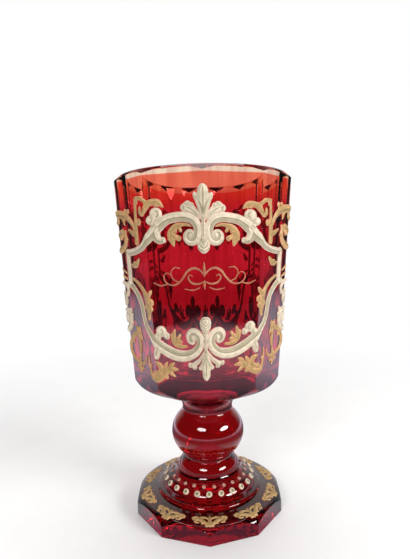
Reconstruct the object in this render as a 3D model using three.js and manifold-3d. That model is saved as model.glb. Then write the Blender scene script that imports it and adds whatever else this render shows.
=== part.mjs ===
// A footed goblet of cut ruby glass with raised enamel scrollwork.
// Units are millimetres, +Z is up, and the origin is the middle of the underside of the foot.
// An edge between two cut flats faces -Y, the front, with the front panel's middle on it.

import * as THREE from 'three';
import { mergeVertices } from 'three/addons/utils/BufferGeometryUtils.js';
import Module from 'manifold-3d';

const wasm = await Module();
wasm.setup();

// Heights of the three gathers of glass, from seam to seam
const FOOT_HEIGHT = 24.8;
const KNOP_HEIGHT = 18.7;
const BOWL_HEIGHT = 106.5;

// The cut flats of the bowl and the foot
const FLAT_COUNT = 10;
const BOWL_LIP_CORNER_RADIUS = 39.3;
const BOWL_LOW_CORNER_RADIUS = 33.1;
const FOOT_CORNER_RADIUS = 34;

// The bowl's wall, lip and floor
const WALL_THICKNESS = 2.8;
const LIP_ROLL_RADIUS = 1.4;
const CORNER_TOP_DROP = 2.9;
const FLOOR_HEIGHT = 22;
const FLOOR_CORNER_RADIUS = 6;

// The bowl's underside, which opens as a cone from the neck to a round shoulder
const BOWL_UNDERSIDE_HEIGHT = 17.5;
const BOWL_NECK_HEIGHT = 7.3;
const BOWL_NECK_WAIST = 1.1;
const BOWL_NECK_FLARE = 1.8;
const SHOULDER_HEIGHT = 3.3;
const SHOULDER_WIDTH = 4.3;
const SHOULDER_FULLNESS = 1.1;

// The stem
const UPPER_NECK_RADIUS = 11.7;
const LOWER_NECK_RADIUS = 11;
const KNOP_RADIUS = 16.6;

// The foot's collar and dome
const COLLAR_RADIUS = 13.8;
const COLLAR_HEIGHT = 7.4;
const COLLAR_BULGE = 0.2;
const COLLAR_SHOULDER_DROP = 4.6;
const NECK_STEP_HEIGHT = 1.8;
const CREASE_WIDTH = 0.4;
const COVE_WIDTH = 1.2;
const COVE_RISE = 0.9;
const DOME_RADIUS = 21.2;
const DOME_EDGE_HEIGHT = 11.1;
const DOME_BULGE = 0.7;
const DOME_SHOULDER_INSET = 0.8;
const DOME_SHOULDER_DROP = 1;

// The foot's step and flange
const STEP_RADIUS = 23.8;
const STEP_EDGE_RISE = 0.4;
const STEP_CROWN_RISE = 1.6;
const STEP_CREASE_DROP = 1.1;
const FLANGE_HEIGHT = 8.3;
const FLANGE_FALL = 0.8;
const FLANGE_EDGE_WIDTH = 4;
const FLAT_CUSP_HEIGHT = 4.2;
const CUSP_OVERRUN = 3.7;
const PONTIL_RADIUS = 8;
const PONTIL_DEPTH = 0.8;

// The enamel
const ENAMEL_THICKNESS = 0.8;
const GARLAND_THICKNESS = 0.5;
const GARLAND_INSET = 0.2;
const FINE_BRUSH_DEGREES = 1.58;
const SEAT_GAP = 0.05;
const COLOUR_GAP = 0.3;
const PEARL_COUNT = 24;
const PEARL_RADIUS = 1.3;
const PEARL_FLATNESS = 0.7;
const HAND_SQUEEZE = 0.06;
const SQUEEZE_LEVEL = 56.5;
const SQUEEZE_DEGREES = 32;

// Levels and radii that follow from the sizes above
const KNOP_BASE = FOOT_HEIGHT;
const BOWL_BASE = KNOP_BASE + KNOP_HEIGHT;
const LIP_TOP = BOWL_BASE + BOWL_HEIGHT;
const PANEL_BOTTOM = BOWL_BASE + BOWL_UNDERSIDE_HEIGHT;
const PANEL_TOP = LIP_TOP - CORNER_TOP_DROP;
const PANEL_HEIGHT = PANEL_TOP - PANEL_BOTTOM;
const FLOOR = BOWL_BASE + FLOOR_HEIGHT;
const FLAT_SHARE = Math.cos(Math.PI / FLAT_COUNT);
const TURN = 2 * Math.PI;
const FLAT_TURN = TURN / FLAT_COUNT;

// How finely round forms are faceted
const GLASS_SIDES = FLAT_COUNT * 3;
const CURVE_STEPS = 3;
const PONTIL_SIDES = FLAT_COUNT * 2;
const PONTIL_RINGS = 60;
const PEARL_SIDES = 6;
const PEARL_RINGS = 2;
const DISC_SIDES = 7;
const STROKE_BEND = THREE.MathUtils.degToRad(65);
const FINE_END_RADIUS = 1.2;

// How far a blank or a cutter runs past what it is cut to
const BLANK_SPARE = 1;
const SHOULDER_OVERRUN = 5;
const SEAT_DEPTH = 0.4;
const BEYOND = 2;

// Materials
const rubyGlass = new THREE.MeshStandardMaterial({ color: 0x8c0d1e, roughness: 0.06, metalness: 0 });
const creamEnamel = new THREE.MeshStandardMaterial({ color: 0xe8dfc6, roughness: 0.35, metalness: 0 });
const ochreEnamel = new THREE.MeshStandardMaterial({ color: 0xc99f63, roughness: 0.4, metalness: 0 });

// Closed solids from three.js geometries

function solidFrom(geometry) {
  const bare = geometry.clone();
  bare.deleteAttribute('normal');
  bare.deleteAttribute('uv');
  const merged = mergeVertices(bare, 1e-5);
  const corners = [];
  const index = merged.index.array;
  for (let i = 0; i < index.length; i += 3) {
    const [a, b, c] = [index[i], index[i + 1], index[i + 2]];
    if (a !== b && b !== c && c !== a) {
      corners.push(a, b, c);
    }
  }
  const mesh = new wasm.Mesh({
    numProp: 3,
    vertProperties: new Float32Array(merged.attributes.position.array),
    triVerts: new Uint32Array(corners),
  });
  return new wasm.Manifold(mesh);
}

function geometryFrom(solid) {
  const { vertProperties, triVerts } = solid.getMesh();
  const geometry = new THREE.BufferGeometry();
  geometry.setAttribute('position', new THREE.BufferAttribute(vertProperties, 3));
  geometry.setIndex(new THREE.BufferAttribute(triVerts, 1));
  return geometry.toNonIndexed();
}

function joined(solids) {
  return solids.reduce((whole, piece) => whole.add(piece));
}

// A solid of revolution about Z from a closed outline of radius and height
function turned(outline, sides = GLASS_SIDES) {
  const geometry = new THREE.LatheGeometry(outline, sides);
  geometry.rotateX(Math.PI / 2);
  const solid = solidFrom(geometry);
  return solid.volume() < 0 ? solidFrom(flipped(geometry)) : solid;
}

function flipped(geometry) {
  const index = geometry.index.array;
  for (let i = 0; i < index.length; i += 3) {
    [index[i], index[i + 1]] = [index[i + 1], index[i]];
  }
  return geometry;
}

// A prism with as many flats as the cutter made, one edge facing the front
function faceted(lowCorner, highCorner, bottom, top) {
  const geometry = new THREE.CylinderGeometry(highCorner, lowCorner, top - bottom, FLAT_COUNT);
  geometry.rotateX(Math.PI / 2);
  geometry.translate(0, 0, (bottom + top) / 2);
  return solidFrom(geometry);
}

// The bowl

function wallCorner(height) {
  const share = (height - PANEL_BOTTOM) / PANEL_HEIGHT;
  return BOWL_LOW_CORNER_RADIUS + (BOWL_LIP_CORNER_RADIUS - BOWL_LOW_CORNER_RADIUS) * share;
}

function wallPrism(proud, bottom, top) {
  const reach = proud / FLAT_SHARE;
  return faceted(wallCorner(bottom) + reach, wallCorner(top) + reach, bottom, top);
}

function boreRadius(height) {
  return wallCorner(height) * FLAT_SHARE - WALL_THICKNESS;
}

function bowlBlank() {
  const rollCentre = boreRadius(LIP_TOP) + LIP_ROLL_RADIUS;
  const rollLevel = LIP_TOP - LIP_ROLL_RADIUS;
  const bevel = Math.PI / 4;
  const bevelDrop = BOWL_LIP_CORNER_RADIUS + BEYOND - rollCentre - LIP_ROLL_RADIUS * Math.cos(bevel);
  const bevelFoot = rollLevel + LIP_ROLL_RADIUS * Math.sin(bevel) - bevelDrop;
  const neckTop = BOWL_BASE + BOWL_NECK_HEIGHT;
  const neckMiddle = BOWL_BASE + BOWL_NECK_HEIGHT / 2;
  const coneEnd = PANEL_BOTTOM - SHOULDER_HEIGHT;
  const floorBend = FLOOR + FLOOR_CORNER_RADIUS;

  const outline = new THREE.Path();
  outline.moveTo(0, BOWL_BASE);
  outline.lineTo(UPPER_NECK_RADIUS, BOWL_BASE);
  outline.quadraticCurveTo(
    UPPER_NECK_RADIUS - BOWL_NECK_WAIST,
    neckMiddle,
    UPPER_NECK_RADIUS + BOWL_NECK_FLARE,
    neckTop,
  );
  outline.lineTo(BOWL_LOW_CORNER_RADIUS - SHOULDER_WIDTH, coneEnd);
  outline.quadraticCurveTo(
    BOWL_LOW_CORNER_RADIUS,
    coneEnd + SHOULDER_FULLNESS,
    BOWL_LOW_CORNER_RADIUS + BLANK_SPARE,
    PANEL_BOTTOM + SHOULDER_OVERRUN,
  );
  outline.lineTo(BOWL_LIP_CORNER_RADIUS + BEYOND, bevelFoot);
  outline.absarc(rollCentre, rollLevel, LIP_ROLL_RADIUS, bevel, Math.PI, false);
  outline.lineTo(boreRadius(floorBend), floorBend);
  outline.quadraticCurveTo(boreRadius(FLOOR), FLOOR, boreRadius(FLOOR) - FLOOR_CORNER_RADIUS, FLOOR);
  outline.lineTo(0, FLOOR);
  return turned(outline.getPoints(CURVE_STEPS));
}

function bowl() {
  return bowlBlank().intersect(wallPrism(0, BOWL_BASE - BEYOND, LIP_TOP + BEYOND));
}

// The stem: one flattened ball between two necks

function knop() {
  const lowShare = Math.sqrt(1 - (LOWER_NECK_RADIUS / KNOP_RADIUS) ** 2);
  const highShare = Math.sqrt(1 - (UPPER_NECK_RADIUS / KNOP_RADIUS) ** 2);
  const halfHeight = KNOP_HEIGHT / (lowShare + highShare);
  const middle = KNOP_BASE + halfHeight * lowShare;
  const outline = new THREE.Path();
  outline.moveTo(0, KNOP_BASE);
  outline.lineTo(LOWER_NECK_RADIUS, KNOP_BASE);
  outline.absellipse(
    0,
    middle,
    KNOP_RADIUS,
    halfHeight,
    -Math.asin(lowShare),
    Math.asin(highShare),
    false,
  );
  outline.lineTo(0, BOWL_BASE);
  return turned(outline.getPoints(CURVE_STEPS));
}

// The foot

const DOME_TOP = FOOT_HEIGHT - COLLAR_HEIGHT;
const domeEdge = new THREE.Vector2(DOME_RADIUS, DOME_EDGE_HEIGHT);
const domeBend = new THREE.Vector2(
  (COLLAR_RADIUS + DOME_RADIUS) / 2,
  (DOME_TOP + DOME_EDGE_HEIGHT) / 2 + DOME_BULGE,
);
const domeCrease = new THREE.Vector2(COLLAR_RADIUS + CREASE_WIDTH, DOME_TOP);
const domeShoulder = new THREE.QuadraticBezierCurve(
  domeEdge,
  new THREE.Vector2(DOME_RADIUS - DOME_SHOULDER_INSET, domeBend.y - DOME_SHOULDER_DROP),
  domeBend,
);
const domeCove = new THREE.QuadraticBezierCurve(
  domeBend,
  new THREE.Vector2(COLLAR_RADIUS + COVE_WIDTH, domeBend.y + COVE_RISE),
  domeCrease,
);

// A blank whose top is the flange's surface, lifted by an enamel's thickness where asked
function flangeBlank(lift, bottom) {
  const rimRadius = FOOT_CORNER_RADIUS + BLANK_SPARE + lift;
  const edgeLevel = FLANGE_HEIGHT - FLANGE_FALL + lift;
  const outline = new THREE.Path();
  outline.moveTo(0, FLANGE_HEIGHT + lift);
  outline.lineTo(STEP_RADIUS, FLANGE_HEIGHT + lift);
  outline.lineTo(FOOT_CORNER_RADIUS - FLANGE_EDGE_WIDTH, edgeLevel);
  outline.quadraticCurveTo(
    FOOT_CORNER_RADIUS + lift,
    edgeLevel,
    rimRadius,
    FLAT_CUSP_HEIGHT - CUSP_OVERRUN + lift,
  );
  outline.lineTo(rimRadius, bottom);
  outline.lineTo(0, bottom);
  return turned(outline.getPoints(CURVE_STEPS));
}

function domeBlank() {
  const outline = new THREE.Path();
  outline.moveTo(0, FLAT_CUSP_HEIGHT);
  outline.lineTo(STEP_RADIUS, FLAT_CUSP_HEIGHT);
  outline.lineTo(STEP_RADIUS, FLANGE_HEIGHT + STEP_EDGE_RISE);
  outline.quadraticCurveTo(
    STEP_RADIUS,
    FLANGE_HEIGHT + STEP_CROWN_RISE,
    DOME_RADIUS + CREASE_WIDTH,
    DOME_EDGE_HEIGHT - STEP_CREASE_DROP,
  );
  outline.lineTo(domeEdge.x, domeEdge.y);
  outline.curves.push(domeShoulder, domeCove);
  outline.currentPoint.copy(domeCrease);
  outline.lineTo(COLLAR_RADIUS, DOME_TOP + CREASE_WIDTH / 2);
  outline.quadraticCurveTo(
    COLLAR_RADIUS + COLLAR_BULGE,
    FOOT_HEIGHT - COLLAR_SHOULDER_DROP,
    LOWER_NECK_RADIUS,
    FOOT_HEIGHT - NECK_STEP_HEIGHT,
  );
  outline.lineTo(LOWER_NECK_RADIUS, FOOT_HEIGHT);
  outline.lineTo(0, FOOT_HEIGHT);
  return turned(outline.getPoints(CURVE_STEPS));
}

// The polished hollow where the foot was held while it was made
function pontilGrinder() {
  const ballRadius = (PONTIL_RADIUS ** 2 + PONTIL_DEPTH ** 2) / (2 * PONTIL_DEPTH);
  const ball = new THREE.SphereGeometry(ballRadius, PONTIL_SIDES, PONTIL_RINGS);
  ball.rotateX(Math.PI / 2);
  ball.translate(0, 0, PONTIL_DEPTH - ballRadius);
  return solidFrom(ball);
}

// The ring of large enamel dots, seated square to the middle of the dome's shoulder
function pearlRing() {
  const seat = domeShoulder.getPoint(0.5);
  const heading = domeShoulder.getTangent(0.5);
  const lean = Math.atan2(heading.y, -heading.x);
  const pearls = [];
  for (let i = 0; i < PEARL_COUNT; i += 1) {
    const pearl = new THREE.SphereGeometry(PEARL_RADIUS, PEARL_SIDES, PEARL_RINGS);
    pearl.rotateX(Math.PI / 2);
    pearl.scale(1, 1, PEARL_FLATNESS);
    pearl.rotateX(lean);
    pearl.translate(0, -seat.x, seat.y);
    pearl.rotateZ((TURN * i) / PEARL_COUNT);
    pearls.push(solidFrom(pearl));
  }
  return joined(pearls);
}

function foot() {
  const flats = faceted(FOOT_CORNER_RADIUS, FOOT_CORNER_RADIUS, 0, FOOT_HEIGHT);
  const flange = flangeBlank(0, -BEYOND).intersect(flats);
  const glass = flange.add(domeBlank()).subtract(pontilGrinder());
  return glass.add(pearlRing());
}

// Enamel patterns on the bowl's wall
// A stroke's points are degrees round the bowl from the middle of its panel, percent of the panel's
// height, and the stroke's width in marks of the fine brush. A disc has its middle and its radius.

const MM_PER_DEGREE = ((BOWL_LIP_CORNER_RADIUS + BOWL_LOW_CORNER_RADIUS) / 2) * (Math.PI / 180);
const MM_PER_PERCENT = PANEL_HEIGHT / 100;
const FINE_BRUSH = FINE_BRUSH_DEGREES * MM_PER_DEGREE;

function flatOnWall([degrees, percent, marks]) {
  return {
    place: new THREE.Vector2(degrees * MM_PER_DEGREE, percent * MM_PER_PERCENT),
    width: marks * FINE_BRUSH,
  };
}

function flatOnFlange([across, outwards, width]) {
  return {
    place: new THREE.Vector2(across * GARLAND_UNIT, outwards * GARLAND_UNIT),
    width: width * GARLAND_UNIT,
  };
}

// The outline of one brush stroke: a smooth line that swells and thins, with round ends.
// A stretch between two points is drawn in more facets the more it bends.
function strokeOutline(points, flat, grow = 0) {
  const marks = points.map(flat);
  const middle = new THREE.SplineCurve(marks.map(({ place }) => place));
  const spans = marks.length - 1;
  const left = [];
  const right = [];
  const mark = (span, along) => {
    const share = (span + along) / spans;
    const place = middle.getPoint(share);
    const half = THREE.MathUtils.lerp(marks[span].width, marks[span + 1].width, along) / 2 + grow;
    const heading = middle.getTangent(share).angle();
    if (share === 0) {
      right.push(...roundEnd(place, half, heading - Math.PI / 2));
    }
    left.push(place.clone().add(compass(half, heading + Math.PI / 2)));
    right.unshift(place.clone().add(compass(half, heading - Math.PI / 2)));
    if (share === 1) {
      left.push(...roundEnd(place, half, heading + Math.PI / 2));
    }
  };
  for (let span = 0; span < spans; span += 1) {
    const start = middle.getTangent(span / spans);
    const finish = middle.getTangent((span + 1) / spans);
    const bend = Math.acos(THREE.MathUtils.clamp(start.dot(finish), -1, 1));
    const facets = Math.max(1, Math.ceil(bend / STROKE_BEND));
    for (let i = 0; i < facets; i += 1) {
      mark(span, i / facets);
    }
  }
  mark(spans - 1, 1);
  return [...left, ...right];
}

function compass(length, angle) {
  return new THREE.Vector2(length * Math.cos(angle), length * Math.sin(angle));
}

function roundEnd(place, radius, from) {
  const steps = radius < FINE_END_RADIUS ? 2 : 3;
  const points = [];
  for (let i = 1; i < steps; i += 1) {
    points.push(place.clone().add(compass(radius, from - (Math.PI * i) / steps)));
  }
  return points;
}

function discOutline(disc, flat, grow = 0) {
  const { place, width: radius } = flat(disc);
  const points = [];
  for (let i = 0; i < DISC_SIDES; i += 1) {
    points.push(place.clone().add(compass(radius + grow, (TURN * i) / DISC_SIDES)));
  }
  return points;
}

// A prism that stands on a curved surface: bend places a flat point at one of two reaches
function standingPrism(outline, bend) {
  const geometry = new THREE.ExtrudeGeometry(new THREE.Shape(outline), {
    depth: 1,
    steps: 1,
    bevelEnabled: false,
  });
  const position = geometry.attributes.position;
  for (let i = 0; i < position.count; i += 1) {
    const place = bend(position.getX(i), position.getY(i), position.getZ(i) > 0.5);
    position.setXYZ(i, place.x, place.y, place.z);
  }
  return solidFrom(geometry);
}

function prismsOf({ strokes = [], discs = [] }, flat, bend, grow = 0) {
  const outlines = [
    ...strokes.map((points) => strokeOutline(points, flat, grow)),
    ...discs.map((disc) => discOutline(disc, flat, grow)),
  ];
  return joined(outlines.map((outline) => standingPrism(outline, bend)));
}

function mirrored({ strokes = [], discs = [] }) {
  const flip = ([x, ...rest]) => [-x, ...rest];
  return { strokes: strokes.map((points) => points.map(flip)), discs: discs.map(flip) };
}

function together(...patterns) {
  return {
    strokes: patterns.flatMap(({ strokes = [] }) => strokes),
    discs: patterns.flatMap(({ discs = [] }) => discs),
  };
}

function bothHands(pattern) {
  return together(pattern, mirrored(pattern));
}

// The painter drew the right half of each panel a little flatter than the left
function drawnLevel(degrees, percent) {
  const share = THREE.MathUtils.clamp(degrees / SQUEEZE_DEGREES, 0, 1);
  return SQUEEZE_LEVEL + (percent - SQUEEZE_LEVEL) * (1 - HAND_SQUEEZE * share);
}

// Places a flat point on the wall, and stands it in or out square to the flat that it lies on
function wallBend(turnDegrees) {
  return (x, y, outer) => {
    const degrees = x / MM_PER_DEGREE;
    const level = PANEL_BOTTOM + drawnLevel(degrees, y / MM_PER_PERCENT) * MM_PER_PERCENT;
    const angle = THREE.MathUtils.degToRad(degrees + turnDegrees);
    const flatAngle = (Math.floor(angle / FLAT_TURN) + 0.5) * FLAT_TURN;
    const flatDistance = wallCorner(level) * FLAT_SHARE;
    const seat = compass(flatDistance / Math.cos(angle - flatAngle), angle - TURN / 4);
    const stand = compass(outer ? ENAMEL_THICKNESS + BEYOND : -SEAT_DEPTH, flatAngle - TURN / 4);
    const place = seat.add(stand);
    return new THREE.Vector3(place.x, place.y, level);
  };
}

const wallSkin = wallPrism(SEAT_GAP + ENAMEL_THICKNESS, PANEL_BOTTOM - BEYOND, LIP_TOP)
  .subtract(wallPrism(SEAT_GAP, PANEL_BOTTOM - 2 * BEYOND, LIP_TOP + BEYOND));

function wallPrisms(pattern, turnDegrees, grow = 0) {
  return prismsOf(pattern, flatOnWall, wallBend(turnDegrees), grow);
}

// Pale scroll frame of the front and back panels: half of it, and what stands on its middle

const halfFrame = {
  strokes: [
    [[1, 84, 1.4], [4, 90.3, 1.7]],
    [[0.6, 79.1, 1.2], [6, 84.6, 3], [9.9, 86.2, 2.6]],
    [[2.5, 74.7, 2], [4.8, 78.3, 2.4], [9.5, 80.5, 2.8], [15.9, 80.9, 3], [23.1, 79.8, 3.4],
      [29.6, 76.9, 3.6], [34.2, 72.2, 2.7], [40.5, 67.6, 2.7], [48.5, 65.6, 2.8], [63, 65.8, 3]],
    [[29.4, 75.2, 4], [29.2, 71, 3.8], [24.1, 70.7, 2]],
    [[62.4, 66, 3.4], [61.9, 50.7, 3.2]],
    [[64.5, 50.3, 3], [56.5, 48.4, 3], [50, 43.6, 3], [47.1, 36.6, 3], [44.2, 31.4, 3],
      [37.5, 27.4, 2.8], [33.2, 22.8, 3.6], [26.2, 20.2, 4.4], [15.9, 18.5, 4.2], [9.9, 19.5, 3.8],
      [5.4, 22.3, 3.2], [3.2, 26, 2.6]],
    [[1, 16.6, 1.4], [4.1, 12.3, 1.8]],
    [[0.8, 19.8, 1.2], [6, 15.8, 2.2], [11.1, 14.5, 1.8]],
  ],
  discs: [
    [6.4, 72.6, 3.1], [30.7, 82, 2.2], [33.4, 78.8, 1.8],
    [8.4, 27.4, 3.6], [31.6, 28.2, 2.6], [27.6, 26.6, 1.7], [34.8, 19.2, 1.9],
  ],
};

const frameMiddle = {
  strokes: [
    [[0, 66.5, 2], [0, 69.8, 3.6], [0, 72, 2.6], [0, 81, 1.6], [0, 85, 2.4], [0, 92.3, 3.4],
      [0, 93.7, 2.4]],
    [[0, 9.2, 2.6], [0, 10.9, 3.2], [0, 15.1, 2.2], [0, 22, 2], [0, 27, 3.8], [0, 33.3, 4.4],
      [0, 34.4, 3.6]],
  ],
};

const panelFrame = together(frameMiddle, bothHands(halfFrame));

// Pale shell of scrolls between the panels: half of it, with its spine

const halfShell = {
  strokes: [
    [[0, 50.1, 2.2], [-12, 50.1, 2.2], [-20.8, 50.2, 2]],
    [[0, 43.6, 4.6], [-6.4, 43.3, 5], [-16, 43.4, 4.4], [-22.7, 44.2, 1.6]],
    [[0, 26.5, 3], [-10.4, 25.8, 3.2], [-18.4, 26.5, 3.4], [-23.8, 30, 3.2], [-22.8, 34.7, 3.2],
      [-16.5, 36.7, 3], [-11.4, 33.6, 2.6], [-12.7, 30.4, 2.4]],
  ],
};

const sideShell = together({ strokes: [[[0, 50.1, 2.2], [0, 26.5, 2.4]]] }, bothHands(halfShell));

// Ochre pieces: each is drawn on the right hand, and mirrored for the left

const ochrePieces = {
  upper_leaf: {
    strokes: [
      [[7.3, 76.3, 1], [11.9, 77.2, 1.6], [16.9, 76, 2.4], [19.4, 73, 2.8], [19.1, 69.5, 1]],
      [[18.5, 73.3, 1.8], [15.3, 71.6, 1.4]],
    ],
  },
  lower_leaf: {
    strokes: [
      [[13.4, 23.1, 1.4], [16.6, 22.9, 1.8], [20.4, 23.8, 2.4], [22.2, 26.5, 2.4], [21, 30.5, 1]],
      [[19.7, 25.6, 1.8], [17.5, 28.1, 1.2]],
    ],
  },
  corner_scroll: {
    strokes: [
      [[24.5, 85.5, 1], [27.7, 87.6, 2.6], [32.8, 87.2, 2.4], [35.6, 84.9, 2.2], [37.9, 82.8, 2],
        [41.1, 83.5, 1.8], [40.7, 85.8, 1.6]],
      [[34.1, 87.4, 1.6], [39.2, 89.8, 1.8], [45.5, 90.2, 1.6]],
      [[45.5, 90, 1.6], [46.5, 83.7, 1.8], [47.4, 76.7, 2.8], [47.7, 69.8, 3]],
      [[48.4, 73.7, 2.4], [53.2, 74.8, 2.2], [57.6, 76.3, 1.2]],
    ],
    discs: [[43.2, 79.4, 1.5]],
  },
  shoulder_leaf: {
    strokes: [
      [[47.3, 62.4, 1.4], [50.5, 60.4, 2.4], [54.4, 59.3, 2.2], [57.9, 59.7, 1]],
    ],
  },
  side_leaf: {
    strokes: [
      [[57.6, 53, 1.4], [50.3, 50.7, 1.8], [43.6, 47.2, 2.2], [40.1, 43, 3.2], [39.6, 38.4, 2.8],
        [39.5, 34.7, 1.4]],
      [[40.4, 44.7, 2.2], [36.9, 46, 1.6]],
    ],
  },
  bottom_spray: {
    strokes: [
      [[22.6, 12.3, 1.2], [27.7, 12.6, 2.2], [32.5, 10, 2.4], [38.2, 8.6, 2], [46.2, 10.9, 1.6],
        [55.7, 12.8, 1.8], [65.3, 15.8, 1]],
      [[32.5, 10.2, 2], [33.1, 13.3, 2], [37.2, 14, 1.2]],
    ],
  },
  side_spray: {
    strokes: [
      [[49.3, 28.1, 1], [55.4, 26.3, 1.8], [62.1, 22.8, 2], [70, 20, 1.8], [78, 20.5, 1]],
      [[56, 25.6, 1.6], [56.7, 21.6, 1.8], [54.7, 19.1, 1.2]],
    ],
  },
};

const halfCrownArch = {
  strokes: [
    [[0, 85.1, 3.6], [-16.8, 85.3, 3.4], [-29.5, 85.3, 3], [-34.9, 83.7, 2.8], [-38.4, 80.9, 2]],
    [[0, 79.8, 2.6], [-10.4, 80.1, 2.2], [-19.2, 80.5, 1.4]],
  ],
  discs: [[-33.3, 87, 1.3]],
};

const crownArch = together({ strokes: [[[0, 85.1, 3], [0, 79.8, 2.6]]] }, bothHands(halfCrownArch));

const crownRing = bothHands({
  strokes: [
    [[0, 66.5, 3.2], [-16.8, 67, 3.2], [-24.1, 69.1, 3.2], [-27, 72.8, 3], [-25.7, 76.7, 2.6],
      [-21.9, 77.4, 2], [-19.2, 75.1, 1.6]],
  ],
});

// The garland on the foot, drawn across and outwards from its middle in tenths of the flange's width

const GARLAND_UNIT = (FOOT_CORNER_RADIUS - STEP_RADIUS) / 10;

const garland = {
  strokes: [
    [[-7.4, -1.6, 0.8], [-5.2, -0.2, 2.2], [-2.6, 0.8, 1.8], [0, 2.7, 1.8], [2.6, 0.8, 1.8],
      [5, -0.5, 2.2], [7, 0.9, 1]],
    [[-2.8, 0.8, 1.4], [0, -2, 1.8], [2.7, 0.8, 1.4]],
  ],
};

const GARLAND_RADIUS = (STEP_RADIUS + FOOT_CORNER_RADIUS) / 2 - GARLAND_INSET;

function flangeBend(turnDegrees) {
  return (x, y, outer) => {
    const angle = THREE.MathUtils.degToRad(turnDegrees) + x / GARLAND_RADIUS;
    const radius = GARLAND_RADIUS + y;
    const level = outer ? FLAT_CUSP_HEIGHT : FLANGE_HEIGHT + BEYOND;
    return new THREE.Vector3(radius * Math.sin(angle), -radius * Math.cos(angle), level);
  };
}

const flangeSkin = flangeBlank(SEAT_GAP + GARLAND_THICKNESS, FLAT_CUSP_HEIGHT)
  .subtract(flangeBlank(SEAT_GAP, 0));

// The assembly

const group = new THREE.Group();

function addPiece(name, solid, material) {
  const mesh = new THREE.Mesh(geometryFrom(solid), material);
  mesh.name = name;
  group.add(mesh);
}

addPiece('bowl', bowl(), rubyGlass);
addPiece('knop', knop(), rubyGlass);
addPiece('foot', foot(), rubyGlass);

const panels = { front: 0, back: 180 };
const sides = { right: 90, left: 270 };
const hands = { right: (pattern) => pattern, left: mirrored };

// Ochre keeps clear of the pale enamel by the colour gap
const paleKeepOut = joined([
  ...Object.values(panels).map((turn) => wallPrisms(panelFrame, turn, COLOUR_GAP)),
  ...Object.values(sides).map((turn) => wallPrisms(sideShell, turn, COLOUR_GAP)),
]);

function addPale(name, pattern, turn) {
  addPiece(name, wallPrisms(pattern, turn).intersect(wallSkin), creamEnamel);
}

function addOchre(name, pattern, turn) {
  addPiece(name, wallPrisms(pattern, turn).subtract(paleKeepOut).intersect(wallSkin), ochreEnamel);
}

for (const [panel, turn] of Object.entries(panels)) {
  addPale(`${panel}_frame`, panelFrame, turn);
  for (const [hand, drawn] of Object.entries(hands)) {
    for (const [piece, pattern] of Object.entries(ochrePieces)) {
      addOchre(`${panel}_${hand}_${piece}`, drawn(pattern), turn);
    }
  }
}

for (const [side, turn] of Object.entries(sides)) {
  addPale(`${side}_shell`, sideShell, turn);
  addOchre(`${side}_crown_arch`, crownArch, turn);
  addOchre(`${side}_crown_ring`, crownRing, turn);
}

for (let i = 0; i < FLAT_COUNT; i += 1) {
  const prisms = prismsOf(garland, flatOnFlange, flangeBend((360 * i) / FLAT_COUNT));
  addPiece(`foot_garland_${i + 1}`, prisms.intersect(flangeSkin), ochreEnamel);
}

export default group;
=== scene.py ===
# A footed goblet of cut ruby glass with raised enamel scrollwork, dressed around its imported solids.
# Sizes are drawn in millimetres and made metres by MM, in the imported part's own frame.

import math

import bpy
import numpy as np
from mathutils import Matrix, Vector


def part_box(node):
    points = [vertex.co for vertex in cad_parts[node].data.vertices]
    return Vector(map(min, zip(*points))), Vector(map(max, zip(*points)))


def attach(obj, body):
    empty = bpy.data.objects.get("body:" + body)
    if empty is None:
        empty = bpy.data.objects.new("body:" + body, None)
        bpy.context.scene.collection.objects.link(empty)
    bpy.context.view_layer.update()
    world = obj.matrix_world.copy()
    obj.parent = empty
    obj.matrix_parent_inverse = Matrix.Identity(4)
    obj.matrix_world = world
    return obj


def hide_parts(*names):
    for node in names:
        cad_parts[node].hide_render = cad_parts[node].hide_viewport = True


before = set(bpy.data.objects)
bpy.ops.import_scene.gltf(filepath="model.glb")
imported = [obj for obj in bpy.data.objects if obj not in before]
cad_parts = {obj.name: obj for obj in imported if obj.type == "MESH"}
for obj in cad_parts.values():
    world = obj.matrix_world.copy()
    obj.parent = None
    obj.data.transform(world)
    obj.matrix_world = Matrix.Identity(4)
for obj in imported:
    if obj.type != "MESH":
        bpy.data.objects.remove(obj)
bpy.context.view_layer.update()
scene = bpy.context.scene

MM = 0.001
FULL_TURN = 2 * math.pi

# Levels of the glass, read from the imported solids
KNOP_BASE = (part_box("knop")[0] / MM).z
BOWL_BASE = (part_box("bowl")[0] / MM).z
LIP_TOP = (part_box("bowl")[1] / MM).z

# Cut flats. The lip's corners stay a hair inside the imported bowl's own.
FLAT_COUNT = 10
FLAT_SHARE = math.cos(math.pi / FLAT_COUNT)
FLAT_TURN = FULL_TURN / FLAT_COUNT
FOOT_CORNER = 34
LIP_CORNER = 39.28
LOW_CORNER = 33.1
ARRIS_WIDTH = 0.3
PANEL_BOTTOM = BOWL_BASE + 17.5
PANEL_TOP = LIP_TOP - 2.9
PANEL_HEIGHT = PANEL_TOP - PANEL_BOTTOM

# The bowl's wall
WALL_THICKNESS = 2.8
LIP_ROLL = 1.4
LIP_BEVEL_DEGREES = 45
FLOOR = BOWL_BASE + 22
FLOOR_BEND = 6

# The bowl's underside: a waisted neck, a cone and a round shoulder
NECK_TOP = BOWL_BASE + 7.3
NECK_DRAW = 0.2
NECK_WAIST = 1.1
NECK_FLARE = 1.8
CONE_TOP = PANEL_BOTTOM - 3.3
SHOULDER_WIDTH = 4.3
SHOULDER_FULLNESS = 1.1
SHOULDER_OVERRUN = 5

# The stem, with a small fillet at each fused seam
UPPER_NECK = 11.7
LOWER_NECK = 11
KNOP_RADIUS = 16.6
SEAM_FLARE = 0.8
SEAM_DROP = 1.5

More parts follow.
